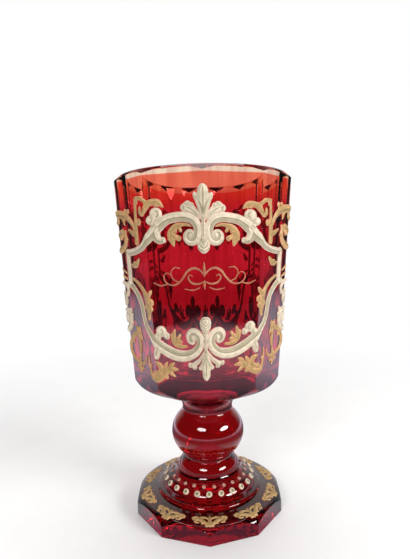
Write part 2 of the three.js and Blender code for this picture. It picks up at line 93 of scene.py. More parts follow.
# The foot's collar and dome
COLLAR_RADIUS = 13.8
COLLAR_BULGE = 0.2
COLLAR_LIFT = 0.2
COLLAR_SHOULDER = KNOP_BASE - 4.6
NECK_STEP = KNOP_BASE - 1.8
CREASE_WIDTH = 0.4
COVE_WIDTH = 1.2
COVE_RISE = 0.9
DOME_TOP = KNOP_BASE - 7.4
DOME_RADIUS = 21.2
DOME_EDGE = 11.1
DOME_BULGE = 0.7
DOME_SHOULDER_INSET = 0.8
DOME_SHOULDER_DROP = 1
DOME_FOOT = (DOME_RADIUS, DOME_EDGE)
DOME_BEND = ((COLLAR_RADIUS + DOME_RADIUS) / 2, (DOME_TOP + DOME_EDGE) / 2 + DOME_BULGE)
DOME_PULL = (DOME_RADIUS - DOME_SHOULDER_INSET, DOME_BEND[1] - DOME_SHOULDER_DROP)

# The foot's step, flange and pontil hollow
STEP_RADIUS = 23.8
STEP_EDGE_RISE = 0.4
STEP_CROWN_RISE = 1.6
STEP_CREASE_DROP = 1.1
FLANGE_HEIGHT = 8.3
FLANGE_FALL = 0.8
FLANGE_EDGE = FOOT_CORNER - 4
FLANGE_ROUNDING = 0.135
FOOT_EDGE_RISE = 0.5
PONTIL_RADIUS = 8
PONTIL_DEPTH = 0.8

# How finely the glass is turned, and how far blanks and cutters run past what they are cut to
GLASS_SIDES = 180
BEND_STEPS = 14
LONG_BEND_STEPS = 24
ROUND_STEPS = 18
SEAM_STEPS = 10
BALL_STEPS = 40
PONTIL_STEPS = 8
WELD = 0.002
SOFT_DEGREES = 6
BLANK_SPARE = 1
BEYOND = 2

# The enamel's thickness, and the gap that every piece keeps to the glass
PALE_THICKNESS = 0.78
OCHRE_THICKNESS = 0.6
RAIL_THICKNESS = OCHRE_THICKNESS / 2
GARLAND_THICKNESS = 0.5
FLOURISH_THICKNESS = 0.14
SEAT_GAP = 0.05

# How finely the enamel is drawn, and how its strokes round off
CELL = 0.2
GARLAND_CELL = 0.15
FINE_CELL = 0.12
PATH_STEP = 0.5
LOBE_LENGTH = 0.01
FAR = 9.0
SPARE = 0.8
EDGE_WIDTH = 1.1
EDGE_ROUND = 0.5
FULL_BRUSH = 0.9
COLOUR_GAP = 0.25
OVERLAP_DEPTH = 0.2

# Marks on the strokes: a line has its place across the brush, from -1 to 1, its width and its strength
SCROLL_LINES = ((0.16, 0.11, 1), (0.46, 0.08, 0.85), (0.72, 0.07, 0.7))
SCROLL_HAIR = (-0.45, 0.07, 0.4)
SCROLL_RIDGE = (-0.3, 0.4, 0.1)
LEAF_VEIN = (0, 0.13, 1)
LEAF_SHADE = (0.5, 0.2, 0.3)
CURL_LINE = (0.45, 0.16, 1)
MEETING_WIDTH = 0.09
HATCHES_PER_MM = 5.7 / FULL_TURN

# Where the marks stop, in millimetres along the stroke and in from its edge, or as a share across it
SCROLL_START_FADE, SCROLL_END_FADE = 2, 1.5
HOLLOW_FROM, HOLLOW_FROM_EASE = 0.05, 0.2
HOLLOW_TO, HOLLOW_TO_EASE = 0.95, 0.15
TIP_FADE = 1.2
HATCH_GAP, HATCH_EASE = 0.3, 0.5
HATCH_INSET, HATCH_INSET_EASE = 0.3, 0.3

# How deep each kind of mark goes, as a share of the thickness, and how dark it is painted
HOLLOW_DEPTH, HOLLOW_PAINT = 0.14, 0.12
LINE_DEPTH, LINE_PAINT = 0.16, 0.9
HAIR_DEPTH = 0.08
HATCH_DEPTH, HATCH_PAINT = 0.16, 0.8
VEIN_DEPTH, VEIN_PAINT = 0.2, 0.8
CURL_DEPTH, CURL_PAINT = 0.12, 0.6
MEETING_DEPTH, MEETING_PAINT = 0.08, 0.7

# How the drawing is laid on the wall and on the flange
MM_PER_DEGREE = (LIP_CORNER + LOW_CORNER) / 2 * math.pi / 180
ARRIS_EASE = 1.2
HAND_SQUEEZE = 0.06
SQUEEZE_DEGREES = 32
SQUEEZE_HEIGHT = PANEL_BOTTOM + 0.565 * PANEL_HEIGHT
GARLAND_RADIUS = (STEP_RADIUS + FOOT_CORNER) / 2 - 0.2

# Dots round the foot's dome. The small ones have a seat of their own, as radius and height.
DOT_COUNT = 24
DOT_SIDES = 20
DOT_SINK = 0.3
LARGE_DOT_RADIUS = 1.3
LARGE_DOT_HEIGHT = 0.75
LARGE_DOT_LEAN = 46
SMALL_DOT_RADIUS = 0.8
SMALL_DOT_HEIGHT = 0.45
SMALL_DOT_LEAN = 28
SMALL_DOT_SEAT = (17, 15.25)

# A dot's outline as shares of its radius and height, over a narrower sunk base, and its painted dimple
DOT_BASE = 0.8
DOT_OUTLINE = (
    (1, 0), (0.98, 0.45), (0.84, 0.85), (0.66, 1), (0.48, 0.94), (0.28, 0.66), (0, 0.58),
)
EDGE_PER_HEIGHT = 0.5
DIMPLE_EDGE, DIMPLE_EASE = 0.62, 0.2

# Glass
GLASS_IOR = 1.52
CLEAR_TINT = (0.99, 0.985, 0.98)
WALL_STAIN = (0.58, 0.010, 0.024)
DEEP_STAIN = (0.40, 0.004, 0.012)
BASE_STAIN = (0.70, 0.012, 0.045)
HIGH_STAIN = (0.82, 0.034, 0.011)
LIP_FLASH = (0.97, 0.60, 0.34)
STEM_STAIN = (0.21, 0.001, 0.002)
CONE_STAIN = (0.06, 0.0005, 0.002)
LIP_STAIN = (0.26, 0.008, 0.006)
CLEAR = (1, 1, 1)
CLOUDED = (0.93, 0.85, 0.88)
SEAM_CORD = (0.97, 0.93, 0.93)

# How the faces of the glass are told apart, in millimetres and as the slope of a face
SEAM_REACH = 0.01
BORE_REACH = 0.1
BORE_SPARE = 0.4
LIP_SLOPE = 0.2

# Enamels: body, mottled shade, painted lines and edge
CREAM_PAINT = ((0.78, 0.65, 0.50), (0.60, 0.52, 0.37), (0.19, 0.17, 0.075), (0.78, 0.52, 0.42))
OCHRE_PAINT = ((0.68, 0.385, 0.165), (0.46, 0.29, 0.105), (0.15, 0.115, 0.035), (0.72, 0.36, 0.20))
YELLOW_PAINT = ((0.56, 0.35, 0.14), (0.40, 0.25, 0.09), (0.13, 0.10, 0.035), (0.56, 0.32, 0.15))
ROSE_PAINT = ((0.62, 0.36, 0.28), (0.52, 0.28, 0.22), (0.30, 0.14, 0.10), (0.60, 0.30, 0.24))
GILT_PAINT = ((0.52, 0.24, 0.12), (0.26, 0.07, 0.04), (0.30, 0.10, 0.05), (0.42, 0.14, 0.07))

# The paper floor, in metres, with its far parts left as bright as the backdrop
PAPER_SIZE = (2, 1.3)
PAPER_FORWARD = 0.35
PAPER_DROP = 0.0001
PAPER_TINT = (0.85, 0.845, 0.84)
PAPER_FIBRE = (0.83, 0.825, 0.82)
WHITE_FROM, WHITE_AT = 0.13, 0.34

# Painted reflection that the paper shows to reflected rays only: glowing strips by distance in metres,
# painted red light before the foot, and painted dim sides
STRIP_REACH = 0.64
STRIPS = (
    (0.125, (0.10, 0.10, 0.12)), (0.21, (0.12, 0.12, 0.15)), (0.33, (0.86, 0.80, 1.0)),
    (0.55, (0.92, 0.84, 1.0)), (1.0, (0.46, 0.40, 0.56)),
)
PAINTED_REFLECTION_STRENGTH = 1.5
CLOSE_FROM, CLOSE_TO = 0.051, 0.08
PAINTED_RED_LIGHT = (0.68, 0.16, 0.26)
CLOSE_GREY = (0.60, 0.55, 0.60)
RED_FROM, RED_TO = 0.024, 0.034
# The painted lit patch in that reflection: its width near and far, and its soft edge. Outside it the
# reflection is painted dim.
LIT_NEAR, LIT_FAR = -0.25, 0.36
LIT_NEAR_WIDTH, LIT_FAR_WIDTH = 0.18, 0.62
LIT_EDGE = 0.02
UNLIT = (0.05, 0.05, 0.07)

# The room: how bright it is as light, and as gloss and glass show its near side
AMBIENT = 0.4
ROOM_REFLECTED = 0.03
ROOM_THROUGH = 0.5
REFLECTED_FROM, REFLECTED_TO = 0.45, 0.9
THROUGH_FROM, THROUGH_TO = -0.6, 0.0
LAMP_AIM = Vector((0, 0, 0.06))

# The camera, fitted to the photograph: distance, height, tilt and roll
FRAME_HEIGHT_PIXELS = 559
FOCAL_PIXELS = 449.77
SENSOR = 36
CAMERA_PLACE = (0.16, -204.07, 120.74)
TILT = 0.081
ROLL = -0.0213
CLIP_START = 0.01


# Selection and modes

def let_go():
    bpy.ops.object.select_all(action="DESELECT")


def take(piece):
    let_go()
    piece.select_set(True)
    bpy.context.view_layer.objects.active = piece


def edit(piece):
    """Opens the piece in edit mode with all of it selected."""
    take(piece)
    bpy.ops.object.mode_set(mode="EDIT")
    bpy.ops.mesh.select_mode(type="VERT")
    bpy.ops.mesh.select_all(action="SELECT")


def done():
    bpy.ops.object.mode_set(mode="OBJECT")


def choose_edges(piece, wanted):
    """Selects the edges that are wanted, and leaves the piece in edit mode."""
    edit(piece)
    bpy.ops.mesh.select_mode(type="EDGE")
    bpy.ops.mesh.select_all(action="DESELECT")
    done()
    for edge in piece.data.edges:
        edge.select = wanted(edge)
    bpy.ops.object.mode_set(mode="EDIT")
    bpy.ops.mesh.select_mode(type="EDGE")


def new_piece(name):
    piece = bpy.context.view_layer.objects.active
    piece.name = name
    piece.data.name = name
    return piece


# Outlines of turned glass, as radius and height in millimetres

def on_circle(centre, radius, degrees):
    angle = math.radians(degrees)
    return (centre[0] + radius * math.cos(angle), centre[1] + radius * math.sin(angle))


def arc(centre, radius, start, finish, steps):
    return [on_circle(centre, radius, start + (finish - start) * i / steps) for i in range(steps + 1)]


def sweep(start, pull, finish, steps=BEND_STEPS):
    points = []
    for i in range(steps + 1):
        t = i / steps
        points.append(tuple(
            a * (1 - t) ** 2 + 2 * b * t * (1 - t) + c * t ** 2 for a, b, c in zip(start, pull, finish)
        ))
    return points


def turned(name, outline, sides=GLASS_SIDES):
    """Draws one point out along the outline and spins it round the axis."""
    let_go()
    bpy.ops.mesh.primitive_plane_add(size=MM)
    piece = new_piece(name)
    edit(piece)
    bpy.ops.mesh.merge(type="CENTER")
    bpy.ops.transform.translate(value=(outline[0][0] * MM, 0, outline[0][1] * MM))
    for before, after in zip(outline, outline[1:]):
        step = ((after[0] - before[0]) * MM, 0, (after[1] - before[1]) * MM)
        bpy.ops.mesh.extrude_region_move(TRANSFORM_OT_translate={"value": step})
    bpy.ops.mesh.select_all(action="SELECT")
    bpy.ops.mesh.spin(steps=sides, angle=FULL_TURN, center=(0, 0, 0), axis=(0, 0, 1))
    bpy.ops.mesh.select_all(action="SELECT")
    bpy.ops.mesh.remove_doubles(threshold=WELD * MM)
    bpy.ops.mesh.normals_make_consistent(inside=False)
    done()
    return piece


def flat_sided(low_corner, high_corner, bottom, top):
    """A ten-sided block with softened arrises, one of them facing the front."""
    let_go()
    bpy.ops.mesh.primitive_cone_add(
        vertices=FLAT_COUNT,
        radius1=low_corner * MM,
        radius2=high_corner * MM,
        depth=(top - bottom) * MM,
        location=(0, 0, (top + bottom) / 2 * MM),
    )
    block = new_piece("flats")
    bpy.ops.object.transform_apply(location=True, rotation=True, scale=True)
    heights = [vertex.co.z for vertex in block.data.vertices]
    choose_edges(block, lambda edge: heights[edge.vertices[0]] != heights[edge.vertices[1]])
    bpy.ops.mesh.bevel(offset=ARRIS_WIDTH * MM, segments=2)
    done()
    return block


def cut(piece, tool):
    """Keeps of the piece what lies inside the tool."""
    take(piece)
    modifier = piece.modifiers.new("cut", "BOOLEAN")
    modifier.operation = "INTERSECT"
    modifier.solver = "EXACT"
    modifier.object = tool
    bpy.ops.object.modifier_apply(modifier=modifier.name)
    bpy.data.objects.remove(tool)


def polished(piece):
    edit(piece)
    bpy.ops.mesh.remove_doubles(threshold=WELD * MM)
    bpy.ops.mesh.normals_make_consistent(inside=False)
    done()
    take(piece)
    bpy.ops.object.shade_smooth_by_angle(angle=math.radians(SOFT_DEGREES))
    modifier = piece.modifiers.new("even gloss", "WEIGHTED_NORMAL")
    modifier.keep_sharp = True
    bpy.ops.object.modifier_apply(modifier=modifier.name)


# The three gathers of glass

def wall_corner(height):
    return LOW_CORNER + (LIP_CORNER - LOW_CORNER) * (height - PANEL_BOTTOM) / PANEL_HEIGHT


def bore(height):
    return wall_corner(height) * FLAT_SHARE - WALL_THICKNESS


def make_bowl():
    roll_middle = (bore(LIP_TOP) + LIP_ROLL, LIP_TOP - LIP_ROLL)
    bevel_top = on_circle(roll_middle, LIP_ROLL, LIP_BEVEL_DEGREES)
    bevel_out = LIP_CORNER + BEYOND
    bevel_low = bevel_top[1] - (bevel_out - bevel_top[0])
    fillet_top = (UPPER_NECK - NECK_DRAW, BOWL_BASE + 2 * SEAM_FLARE)
    fillet_bend = (UPPER_NECK, BOWL_BASE + SEAM_FLARE)
    waist = (UPPER_NECK - NECK_WAIST / 2, (BOWL_BASE + NECK_TOP) / 2 + SEAM_FLARE)
    shoulder = (LOW_CORNER, CONE_TOP + SHOULDER_FULLNESS)
    shoulder_end = (LOW_CORNER + BLANK_SPARE, PANEL_BOTTOM + SHOULDER_OVERRUN)
    outline = [(0, BOWL_BASE)]
    outline += sweep((UPPER_NECK + SEAM_FLARE, BOWL_BASE), fillet_bend, fillet_top, SEAM_STEPS)[:-1]
    outline += sweep(fillet_top, waist, (UPPER_NECK + NECK_FLARE, NECK_TOP))
    outline += sweep((LOW_CORNER - SHOULDER_WIDTH, CONE_TOP), shoulder, shoulder_end, LONG_BEND_STEPS)
    outline += [(bevel_out, bevel_low)]
    outline += arc(roll_middle, LIP_ROLL, LIP_BEVEL_DEGREES, 180, ROUND_STEPS)
    outline += sweep(
        (bore(FLOOR + FLOOR_BEND), FLOOR + FLOOR_BEND),
        (bore(FLOOR), FLOOR),
        (bore(FLOOR) - FLOOR_BEND, FLOOR),
    )
    outline += [(0, FLOOR)]
    bowl = turned("ruby_bowl", outline)
    bottom = BOWL_BASE - BEYOND
    top = LIP_TOP + BEYOND
    cut(bowl, flat_sided(wall_corner(bottom), wall_corner(top), bottom, top))
    polished(bowl)
    return bowl


def make_knop():
    low = math.degrees(math.acos((LOWER_NECK + SEAM_FLARE) / KNOP_RADIUS))
    high = math.degrees(math.acos((UPPER_NECK + SEAM_FLARE) / KNOP_RADIUS))
    half_height = (BOWL_BASE - KNOP_BASE) / (math.sin(math.radians(low)) + math.sin(math.radians(high)))
    middle = KNOP_BASE + half_height * math.sin(math.radians(low))
    ball = arc((0, 0), 1, -low, high, BALL_STEPS)
    outline = [(0, KNOP_BASE)]
    outline += [(KNOP_RADIUS * r, middle + half_height * z) for r, z in ball]
    outline += [(0, BOWL_BASE)]
    knop = turned("ruby_knop", outline)
    polished(knop)
    return knop


def make_foot():
    rim = FOOT_CORNER + BLANK_SPARE
    flange_edge_top = FLANGE_HEIGHT - FLANGE_FALL
    pontil_ball = (PONTIL_RADIUS ** 2 + PONTIL_DEPTH ** 2) / (2 * PONTIL_DEPTH)
    pontil_reach = math.degrees(math.asin(PONTIL_RADIUS / pontil_ball))
    outline = arc((0, PONTIL_DEPTH - pontil_ball), pontil_ball, 90, 90 - pontil_reach, PONTIL_STEPS)
    outline += [(rim, 0)]
    outline += sweep(
        (rim, FOOT_EDGE_RISE),
        (FOOT_CORNER, flange_edge_top),
        (FLANGE_EDGE, flange_edge_top),
        LONG_BEND_STEPS,
    )
    outline += [(STEP_RADIUS, FLANGE_HEIGHT)]
    outline += sweep(
        (STEP_RADIUS, FLANGE_HEIGHT + STEP_EDGE_RISE),
        (STEP_RADIUS, FLANGE_HEIGHT + STEP_CROWN_RISE),
        (DOME_RADIUS + CREASE_WIDTH, DOME_EDGE - STEP_CREASE_DROP),
    )
    outline += sweep(DOME_FOOT, DOME_PULL, DOME_BEND, LONG_BEND_STEPS)
    outline += sweep(
        DOME_BEND,
        (COLLAR_RADIUS + COVE_WIDTH, DOME_BEND[1] + COVE_RISE),
        (COLLAR_RADIUS + CREASE_WIDTH, DOME_TOP),
        ROUND_STEPS,
    )[1:]
    outline += sweep(
        (COLLAR_RADIUS, DOME_TOP + COLLAR_LIFT),
        (COLLAR_RADIUS + COLLAR_BULGE, COLLAR_SHOULDER),
        (LOWER_NECK, NECK_STEP),
        ROUND_STEPS,
    )
    outline += sweep(
        (LOWER_NECK, KNOP_BASE - SEAM_DROP),
        (LOWER_NECK, KNOP_BASE - SEAM_FLARE),
        (LOWER_NECK + SEAM_FLARE, KNOP_BASE),
        SEAM_STEPS,
    )
    outline += [(0, KNOP_BASE)]
    foot = turned("ruby_foot", outline)
    cut(foot, flat_sided(FOOT_CORNER, FOOT_CORNER, -BEYOND, KNOP_BASE + BEYOND))
    polished(foot)
    return foot


# Enamel, drawn flat
# A brush stroke is a list of points: millimetres across from the middle of its panel, millimetres
# above the table, and the brush's width there. A lobe is a round dab with its middle and radius.

def band(points, grooved):
    """A long scroll. Its grooves run on the left of its heading for 1, on the right for -1."""
    return {"points": points, "style": "band", "grooved": grooved}


def leaf(points):
    return {"points": points, "style": "leaf"}


def bud(points):
    return {"points": points, "style": "bud"}


def lobe(across, height, radius):
    brush = 2 * radius
    return {"points": [(across, height, brush), (across, height + LOBE_LENGTH, brush)], "style": "lobe"}


def smooth_path(points):
    """Points along one smooth line through the stroke's points, half a millimetre apart."""
    knots = np.array(points, float)
    if len(knots) == 2:
        return knots
    ends = np.vstack([2 * knots[0] - knots[1], knots, 2 * knots[-1] - knots[-2]])
    path = []
    for i in range(1, len(ends) - 2):
        before, start, finish, after = ends[i - 1:i + 3]
        steps = max(2, int(np.ceil(np.hypot(*(finish - start)[:2]) / PATH_STEP)))
        for t in np.arange(steps) / steps:
            path.append(0.5 * (
                2 * start + (finish - before) * t
                + (2 * before - 5 * start + 4 * finish - after) * t ** 2
                + (3 * start - before - 3 * finish + after) * t ** 3
            ))
    path.append(knots[-1])
    return np.array(path)


def nearest_on(places, path):
    """How deep inside the stroke each place lies, where across it, and how far along."""
    depth = np.full(len(places), -FAR)
    across = np.zeros(len(places))
    along = np.zeros(len(places))
    half = np.full(len(places), 1.0)
    travelled = 0
    for start, finish in zip(path, path[1:]):
        step = finish[:2] - start[:2]
        length = np.hypot(*step)
        heading = step / length
        reach = max(start[2], finish[2]) / 2 + SPARE + length
        near = np.flatnonzero(np.abs(places - start[:2]).max(axis=1) < reach)
        offset = places[near] - start[:2]
        share = np.clip(offset @ heading / length, 0, 1)
        gap = offset - share[:, None] * step
        distance = np.hypot(gap[:, 0], gap[:, 1])
        brush = (start[2] + (finish[2] - start[2]) * share) / 2
        better = brush - distance > depth[near]
        chosen = near[better]
        depth[chosen] = (brush - distance)[better]
        side = np.sign(heading[0] * offset[:, 1] - heading[1] * offset[:, 0])
        across[chosen] = (side * distance / brush)[better]
        along[chosen] = (travelled + share * length)[better]
        half[chosen] = brush[better]
        travelled += length
    return depth, across, along, half, travelled


def mark(across, place, width, strength):
    return strength * np.exp(-((across - place) / width) ** 2)


def ease(distance, reach):
    """Rises from 0 to 1 over the reach."""
    return np.clip(distance / reach, 0, 1)


def scroll_marks(side, along, length):
    """A scroll's ridge, its hollow with three painted lines, and a hair line on its other side."""
    fade = ease(along, SCROLL_START_FADE) * ease(length - along, SCROLL_END_FADE)
    hollow = ease(side - HOLLOW_FROM, HOLLOW_FROM_EASE) * ease(HOLLOW_TO - side, HOLLOW_TO_EASE)
    lines = sum(mark(side, *line) for line in SCROLL_LINES)
    hair = mark(side, *SCROLL_HAIR)
    cuts = HOLLOW_DEPTH * hollow + LINE_DEPTH * lines + HAIR_DEPTH * hair
    rise = fade * (mark(side, *SCROLL_RIDGE) - cuts)
    return rise, fade * (LINE_PAINT * lines + HOLLOW_PAINT * hollow + hair)


def stroke_relief(stroke, depth, across, along, half, length):
    """Height of the stroke as a share of the full thickness, and how dark its painted lines are."""
    body = 1 - (1 - ease(depth, np.minimum(half, EDGE_WIDTH))) ** 2
    body *= np.sqrt(ease(half, FULL_BRUSH))
    if stroke["style"] == "band":
        rise, line = scroll_marks(across * stroke["grooved"], along, length)
        return body + rise, line
    if stroke["style"] == "bud":
        hatching = np.sin((across * half + along) * HATCHES_PER_MM * FULL_TURN)
        hatched = ease(hatching - HATCH_GAP, HATCH_EASE) * ease(depth - HATCH_INSET, HATCH_INSET_EASE)
        return body - HATCH_DEPTH * hatched, HATCH_PAINT * hatched
    if stroke["style"] == "leaf":
        to_tip = ease(length - along, TIP_FADE)
        vein = mark(across, *LEAF_VEIN) * to_tip
        shade = mark(np.abs(across), *LEAF_SHADE) * to_tip
        return body - VEIN_DEPTH * vein, np.maximum(VEIN_PAINT * vein, shade)
    curl = mark(across, *CURL_LINE)
    return body - CURL_DEPTH * curl, CURL_PAINT * curl


def relief(places, strokes, keep_clear=()):
    """Depth inside the whole drawing, its height and its painted lines at flat places."""
    depth = np.full(len(places), -FAR)
    height = np.zeros(len(places))
    line = np.zeros(len(places))
    for stroke in strokes:
        reading = nearest_on(places, smooth_path(stroke["points"]))
        body, marks = stroke_relief(stroke, *reading)
        body[reading[0] <= 0] = 0
        overlap = (reading[0] > OVERLAP_DEPTH) & (depth > OVERLAP_DEPTH)
        meeting = np.where(overlap, np.exp(-((body - height) / MEETING_WIDTH) ** 2), 0)
        higher = body > height
        line = np.where(higher, marks, line)
        line = np.maximum(line, MEETING_PAINT * meeting)
        height = np.maximum(height, body) - MEETING_DEPTH * meeting
        depth = np.maximum(depth, reading[0])
    for stroke in keep_clear:
        other = nearest_on(places, smooth_path(stroke["points"]))[0]
        depth = np.minimum(depth, -other - COLOUR_GAP)
    return depth, height * (1 - (1 - ease(depth, EDGE_ROUND)) ** 2), np.clip(line, 0, 1)


def enamel_sheet(name, strokes, thickness, cell=CELL, keep_clear=(), both_hands=False):
    """A closed sheet of raised enamel in millimetres: X runs across, Y up the wall and Z proud of it."""
    paths = np.vstack([smooth_path(stroke["points"]) for stroke in strokes])
    low = (paths[:, :2] - paths[:, 2:] / 2).min(axis=0) - cell
    high = (paths[:, :2] + paths[:, 2:] / 2).max(axis=0) + cell
    if both_hands:
        low[0] = 0
    size = high - low
    counts = np.ceil(size / cell).astype(int)
    middle = (low + high) / 2
    let_go()
    bpy.ops.mesh.primitive_grid_add(x_subdivisions=int(counts[0]), y_subdivisions=int(counts[1]), size=1)
    piece = new_piece(name)
    edit(piece)
    bpy.ops.transform.resize(value=(size[0], size[1], 1), center_override=(0, 0, 0))
    bpy.ops.transform.translate(value=(middle[0], middle[1], 0))
    done()
    depth = relief(flat_places(piece), strokes, keep_clear)[0]
    set_heights(piece, depth)
    edit(piece)
    bpy.ops.mesh.bisect(plane_co=(0, 0, 0), plane_no=(0, 0, 1), clear_inner=True)
    done()
    if both_hands:
        take(piece)
        modifier = piece.modifiers.new("other hand", "MIRROR")
        modifier.merge_threshold = cell / 10
        modifier.use_mirror_merge = True
        bpy.ops.object.modifier_apply(modifier=modifier.name)
    places = flat_places(piece)
    if both_hands:
        places[:, 0] = np.abs(places[:, 0])
    depth, height, line = relief(places, strokes, keep_clear)
    height[depth < WELD] = 0
    set_heights(piece, height * thickness)
    store(piece, "from_edge", np.clip(depth, 0, None))
    store(piece, "line", line)
    edit(piece)
    bpy.ops.mesh.duplicate()
    bpy.ops.transform.resize(value=(1, 1, 0), center_override=(0, 0, 0))
    bpy.ops.mesh.flip_normals()
    bpy.ops.mesh.select_all(action="SELECT")
    bpy.ops.mesh.remove_doubles(threshold=WELD / 2)
    done()
    take(piece)
    bpy.ops.object.shade_smooth()
    return piece


def coordinates(piece):
    values = np.empty(3 * len(piece.data.vertices))
    piece.data.vertices.foreach_get("co", values)
    return values.reshape(-1, 3)


def place_all(piece, values):
    piece.data.vertices.foreach_set("co", values.ravel())
    piece.data.update()


def flat_places(piece):
    return coordinates(piece)[:, :2].copy()


def set_heights(piece, heights):
    values = coordinates(piece)
    values[:, 2] = heights
    place_all(piece, values)


def store(piece, name, values):
    attribute = piece.data.attributes.new(name, "FLOAT", "POINT")
    attribute.data.foreach_set("value", np.ascontiguousarray(values, dtype=np.float32))


def copy_of(piece, name, mirrored=False):
    let_go()
    twin = piece.copy()
    twin.data = piece.data.copy()
    twin.name = name
    twin.data.name = name
    scene.collection.objects.link(twin)
    if mirrored:
        values = coordinates(twin)
        values[:, 0] *= -1
        place_all(twin, values)
        edit(twin)
        bpy.ops.mesh.flip_normals()
        done()
    return twin


def bend_to_wall(piece, turn):
    """Lays a flat sheet on the bowl's wall, turned round the bowl by so many degrees."""
    across, height, proud = coordinates(piece).T
    degrees = across / MM_PER_DEGREE
    squeeze = 1 - HAND_SQUEEZE * ease(degrees, SQUEEZE_DEGREES)
    height = SQUEEZE_HEIGHT + (height - SQUEEZE_HEIGHT) * squeeze
    angle = np.radians(degrees + turn)
    flat = (np.floor(angle / FLAT_TURN) + 0.5) * FLAT_TURN
    distance = wall_corner(height) * FLAT_SHARE
    radius = distance / np.cos(angle - flat)
    aside = distance * np.tan(angle - flat)
    to_arris = distance * math.tan(FLAT_TURN / 2) - np.abs(aside)
    lean = 0.5 * np.clip(1 - to_arris / ARRIS_EASE, 0, 1) * np.sign(aside) * FLAT_TURN
    stand = flat + lean
    proud = (proud + SEAT_GAP) / np.cos(lean)
    place_all(piece, np.stack([
        radius * np.sin(angle) + proud * np.sin(stand),
        -radius * np.cos(angle) - proud * np.cos(stand),
        height,
    ], axis=1) * MM)


def bend_to_flange(piece, turn):
    """Lays a flat garland on the foot's flange, with its own height turned outwards."""
    across, outwards, proud = coordinates(piece).T
    angle = math.radians(turn) + across / GARLAND_RADIUS
    radius = GARLAND_RADIUS + outwards
    place_all(piece, np.stack([
        radius * np.sin(angle),
        -radius * np.cos(angle),
        flange_top(radius) + SEAT_GAP + proud,
    ], axis=1) * MM)


def flange_top(radius):
    """The flange falls a little from the step, and then rounds over to its cut edge."""
    fall = FLANGE_HEIGHT - FLANGE_FALL * ease(radius - STEP_RADIUS, FLANGE_EDGE - STEP_RADIUS)
    beyond = np.clip(radius - FLANGE_EDGE, 0, None)
    return fall - FLANGE_ROUNDING * beyond ** 2


# The pale frame of a panel, its right half
frame_half = [
    band([(3.8, 124.3, 1), (4.4, 125.1, 1.5), (5.6, 124.9, 2.2), (6.3, 123.5, 3), (5.7, 122, 3.4),
          (4.2, 121.5, 3.5), (2.8, 122.2, 3.4), (2.1, 124, 3.3), (2, 126.2, 3.2), (2.7, 128.3, 3.4),
          (4.2, 129.8, 3.7), (7, 130.6, 3.8), (10, 130.6, 3.9), (14.2, 129.8, 4), (17.8, 127.4, 4.6),
          (20.9, 124.1, 4), (25.4, 120.2, 3.3), (30.6, 118.4, 3), (35.5, 117.6, 2.9),
          (39.4, 117.2, 2.9)], -1),
    band([(18.8, 127.2, 4), (19, 124.4, 4), (17.8, 122.2, 3), (15.8, 121.9, 2)], 1),
    leaf([(0.6, 129.4, 0.8), (2, 131.2, 1.8), (3.6, 132.8, 3), (5.2, 133.8, 3.8), (6.3, 134.2, 3.4)]),
    lobe(7, 134, 1.5), lobe(5.6, 135.1, 1.4), lobe(4.3, 134.6, 1.2), lobe(4.3, 123.6, 1.3),
    lobe(18.3, 132, 2.5), lobe(20.6, 129.7, 1.8), lobe(16.1, 122.1, 1.2),
    band([(39.1, 117.4, 3.2), (39.2, 112, 3.4), (39.1, 104.3, 3.2)], 1),
    band([(41.4, 104.2, 2.6), (38.4, 103.6, 2.9), (35.2, 101.8, 2.9), (32.1, 99, 2.9), (30.3, 95.6, 2.9),
          (29.3, 91.4, 2.8), (27.6, 87.4, 2.8), (24.3, 84.2, 3.4), (21.2, 81.1, 4.5), (17.2, 78.6, 5),
          (12.5, 77, 4.9), (8, 77.1, 4.4), (4.6, 78.6, 3.8), (2.5, 81.2, 3.5), (2.1, 84, 3.4),
          (3.4, 86.1, 3.4), (5.4, 86.6, 3.3), (6.9, 85.2, 3), (6.7, 83.2, 2.4), (5.4, 82.4, 1.7),
          (4.6, 83, 1.1)], -1),
    leaf([(0.7, 79, 0.8), (2.4, 76, 1.6), (4.2, 74.3, 2), (5.6, 73.5, 2)]),
    lobe(6.9, 73.4, 1.1), lobe(5, 72.7, 1.1), lobe(4.7, 84.2, 1.3),
    lobe(19.4, 86.4, 2.3), lobe(17.1, 84.7, 1.5), lobe(21.2, 84.2, 1.5),
    leaf([(21.4, 79.4, 3), (22.1, 77.2, 3.1), (22.3, 75.8, 2.2)]),
    leaf([(0.1, 130, 1.3), (0.8, 134, 2.6), (1.8, 136.8, 2.4), (2.6, 138.2, 2), (3, 139.1, 1)]),
    leaf([(0.1, 78.6, 1.2), (0.8, 75, 2), (1.7, 73.2, 1.9), (2.5, 72.3, 1.6)]),
    leaf([(0, 129.6, 0.9), (0, 132.6, 2.2), (0, 135.4, 3.6), (0, 138.4, 4), (0, 140.4, 3.6), (0, 142, 0.9)]),
    leaf([(0, 132, 1), (0, 127, 1.4), (0, 123, 1.7), (0, 121.2, 3)]),
    bud([(0, 122.4, 1.6), (0, 121, 3.4), (0, 119.7, 4.6), (0, 118.4, 3.2), (0, 117.2, 0.9)]),
    leaf([(0, 79.6, 1.2), (0, 76, 2.4), (0, 72.8, 4), (0, 70.8, 3.2), (0, 69.4, 3.2), (0, 68.4, 2)]),
    leaf([(0, 77, 1.2), (0, 81, 1.5), (0, 85.4, 1.8), (0, 87.4, 2.6)]),
    bud([(0, 86.8, 2.4), (0, 88.6, 4), (0, 90.2, 4.5), (0, 90.7, 4.2)]),
]

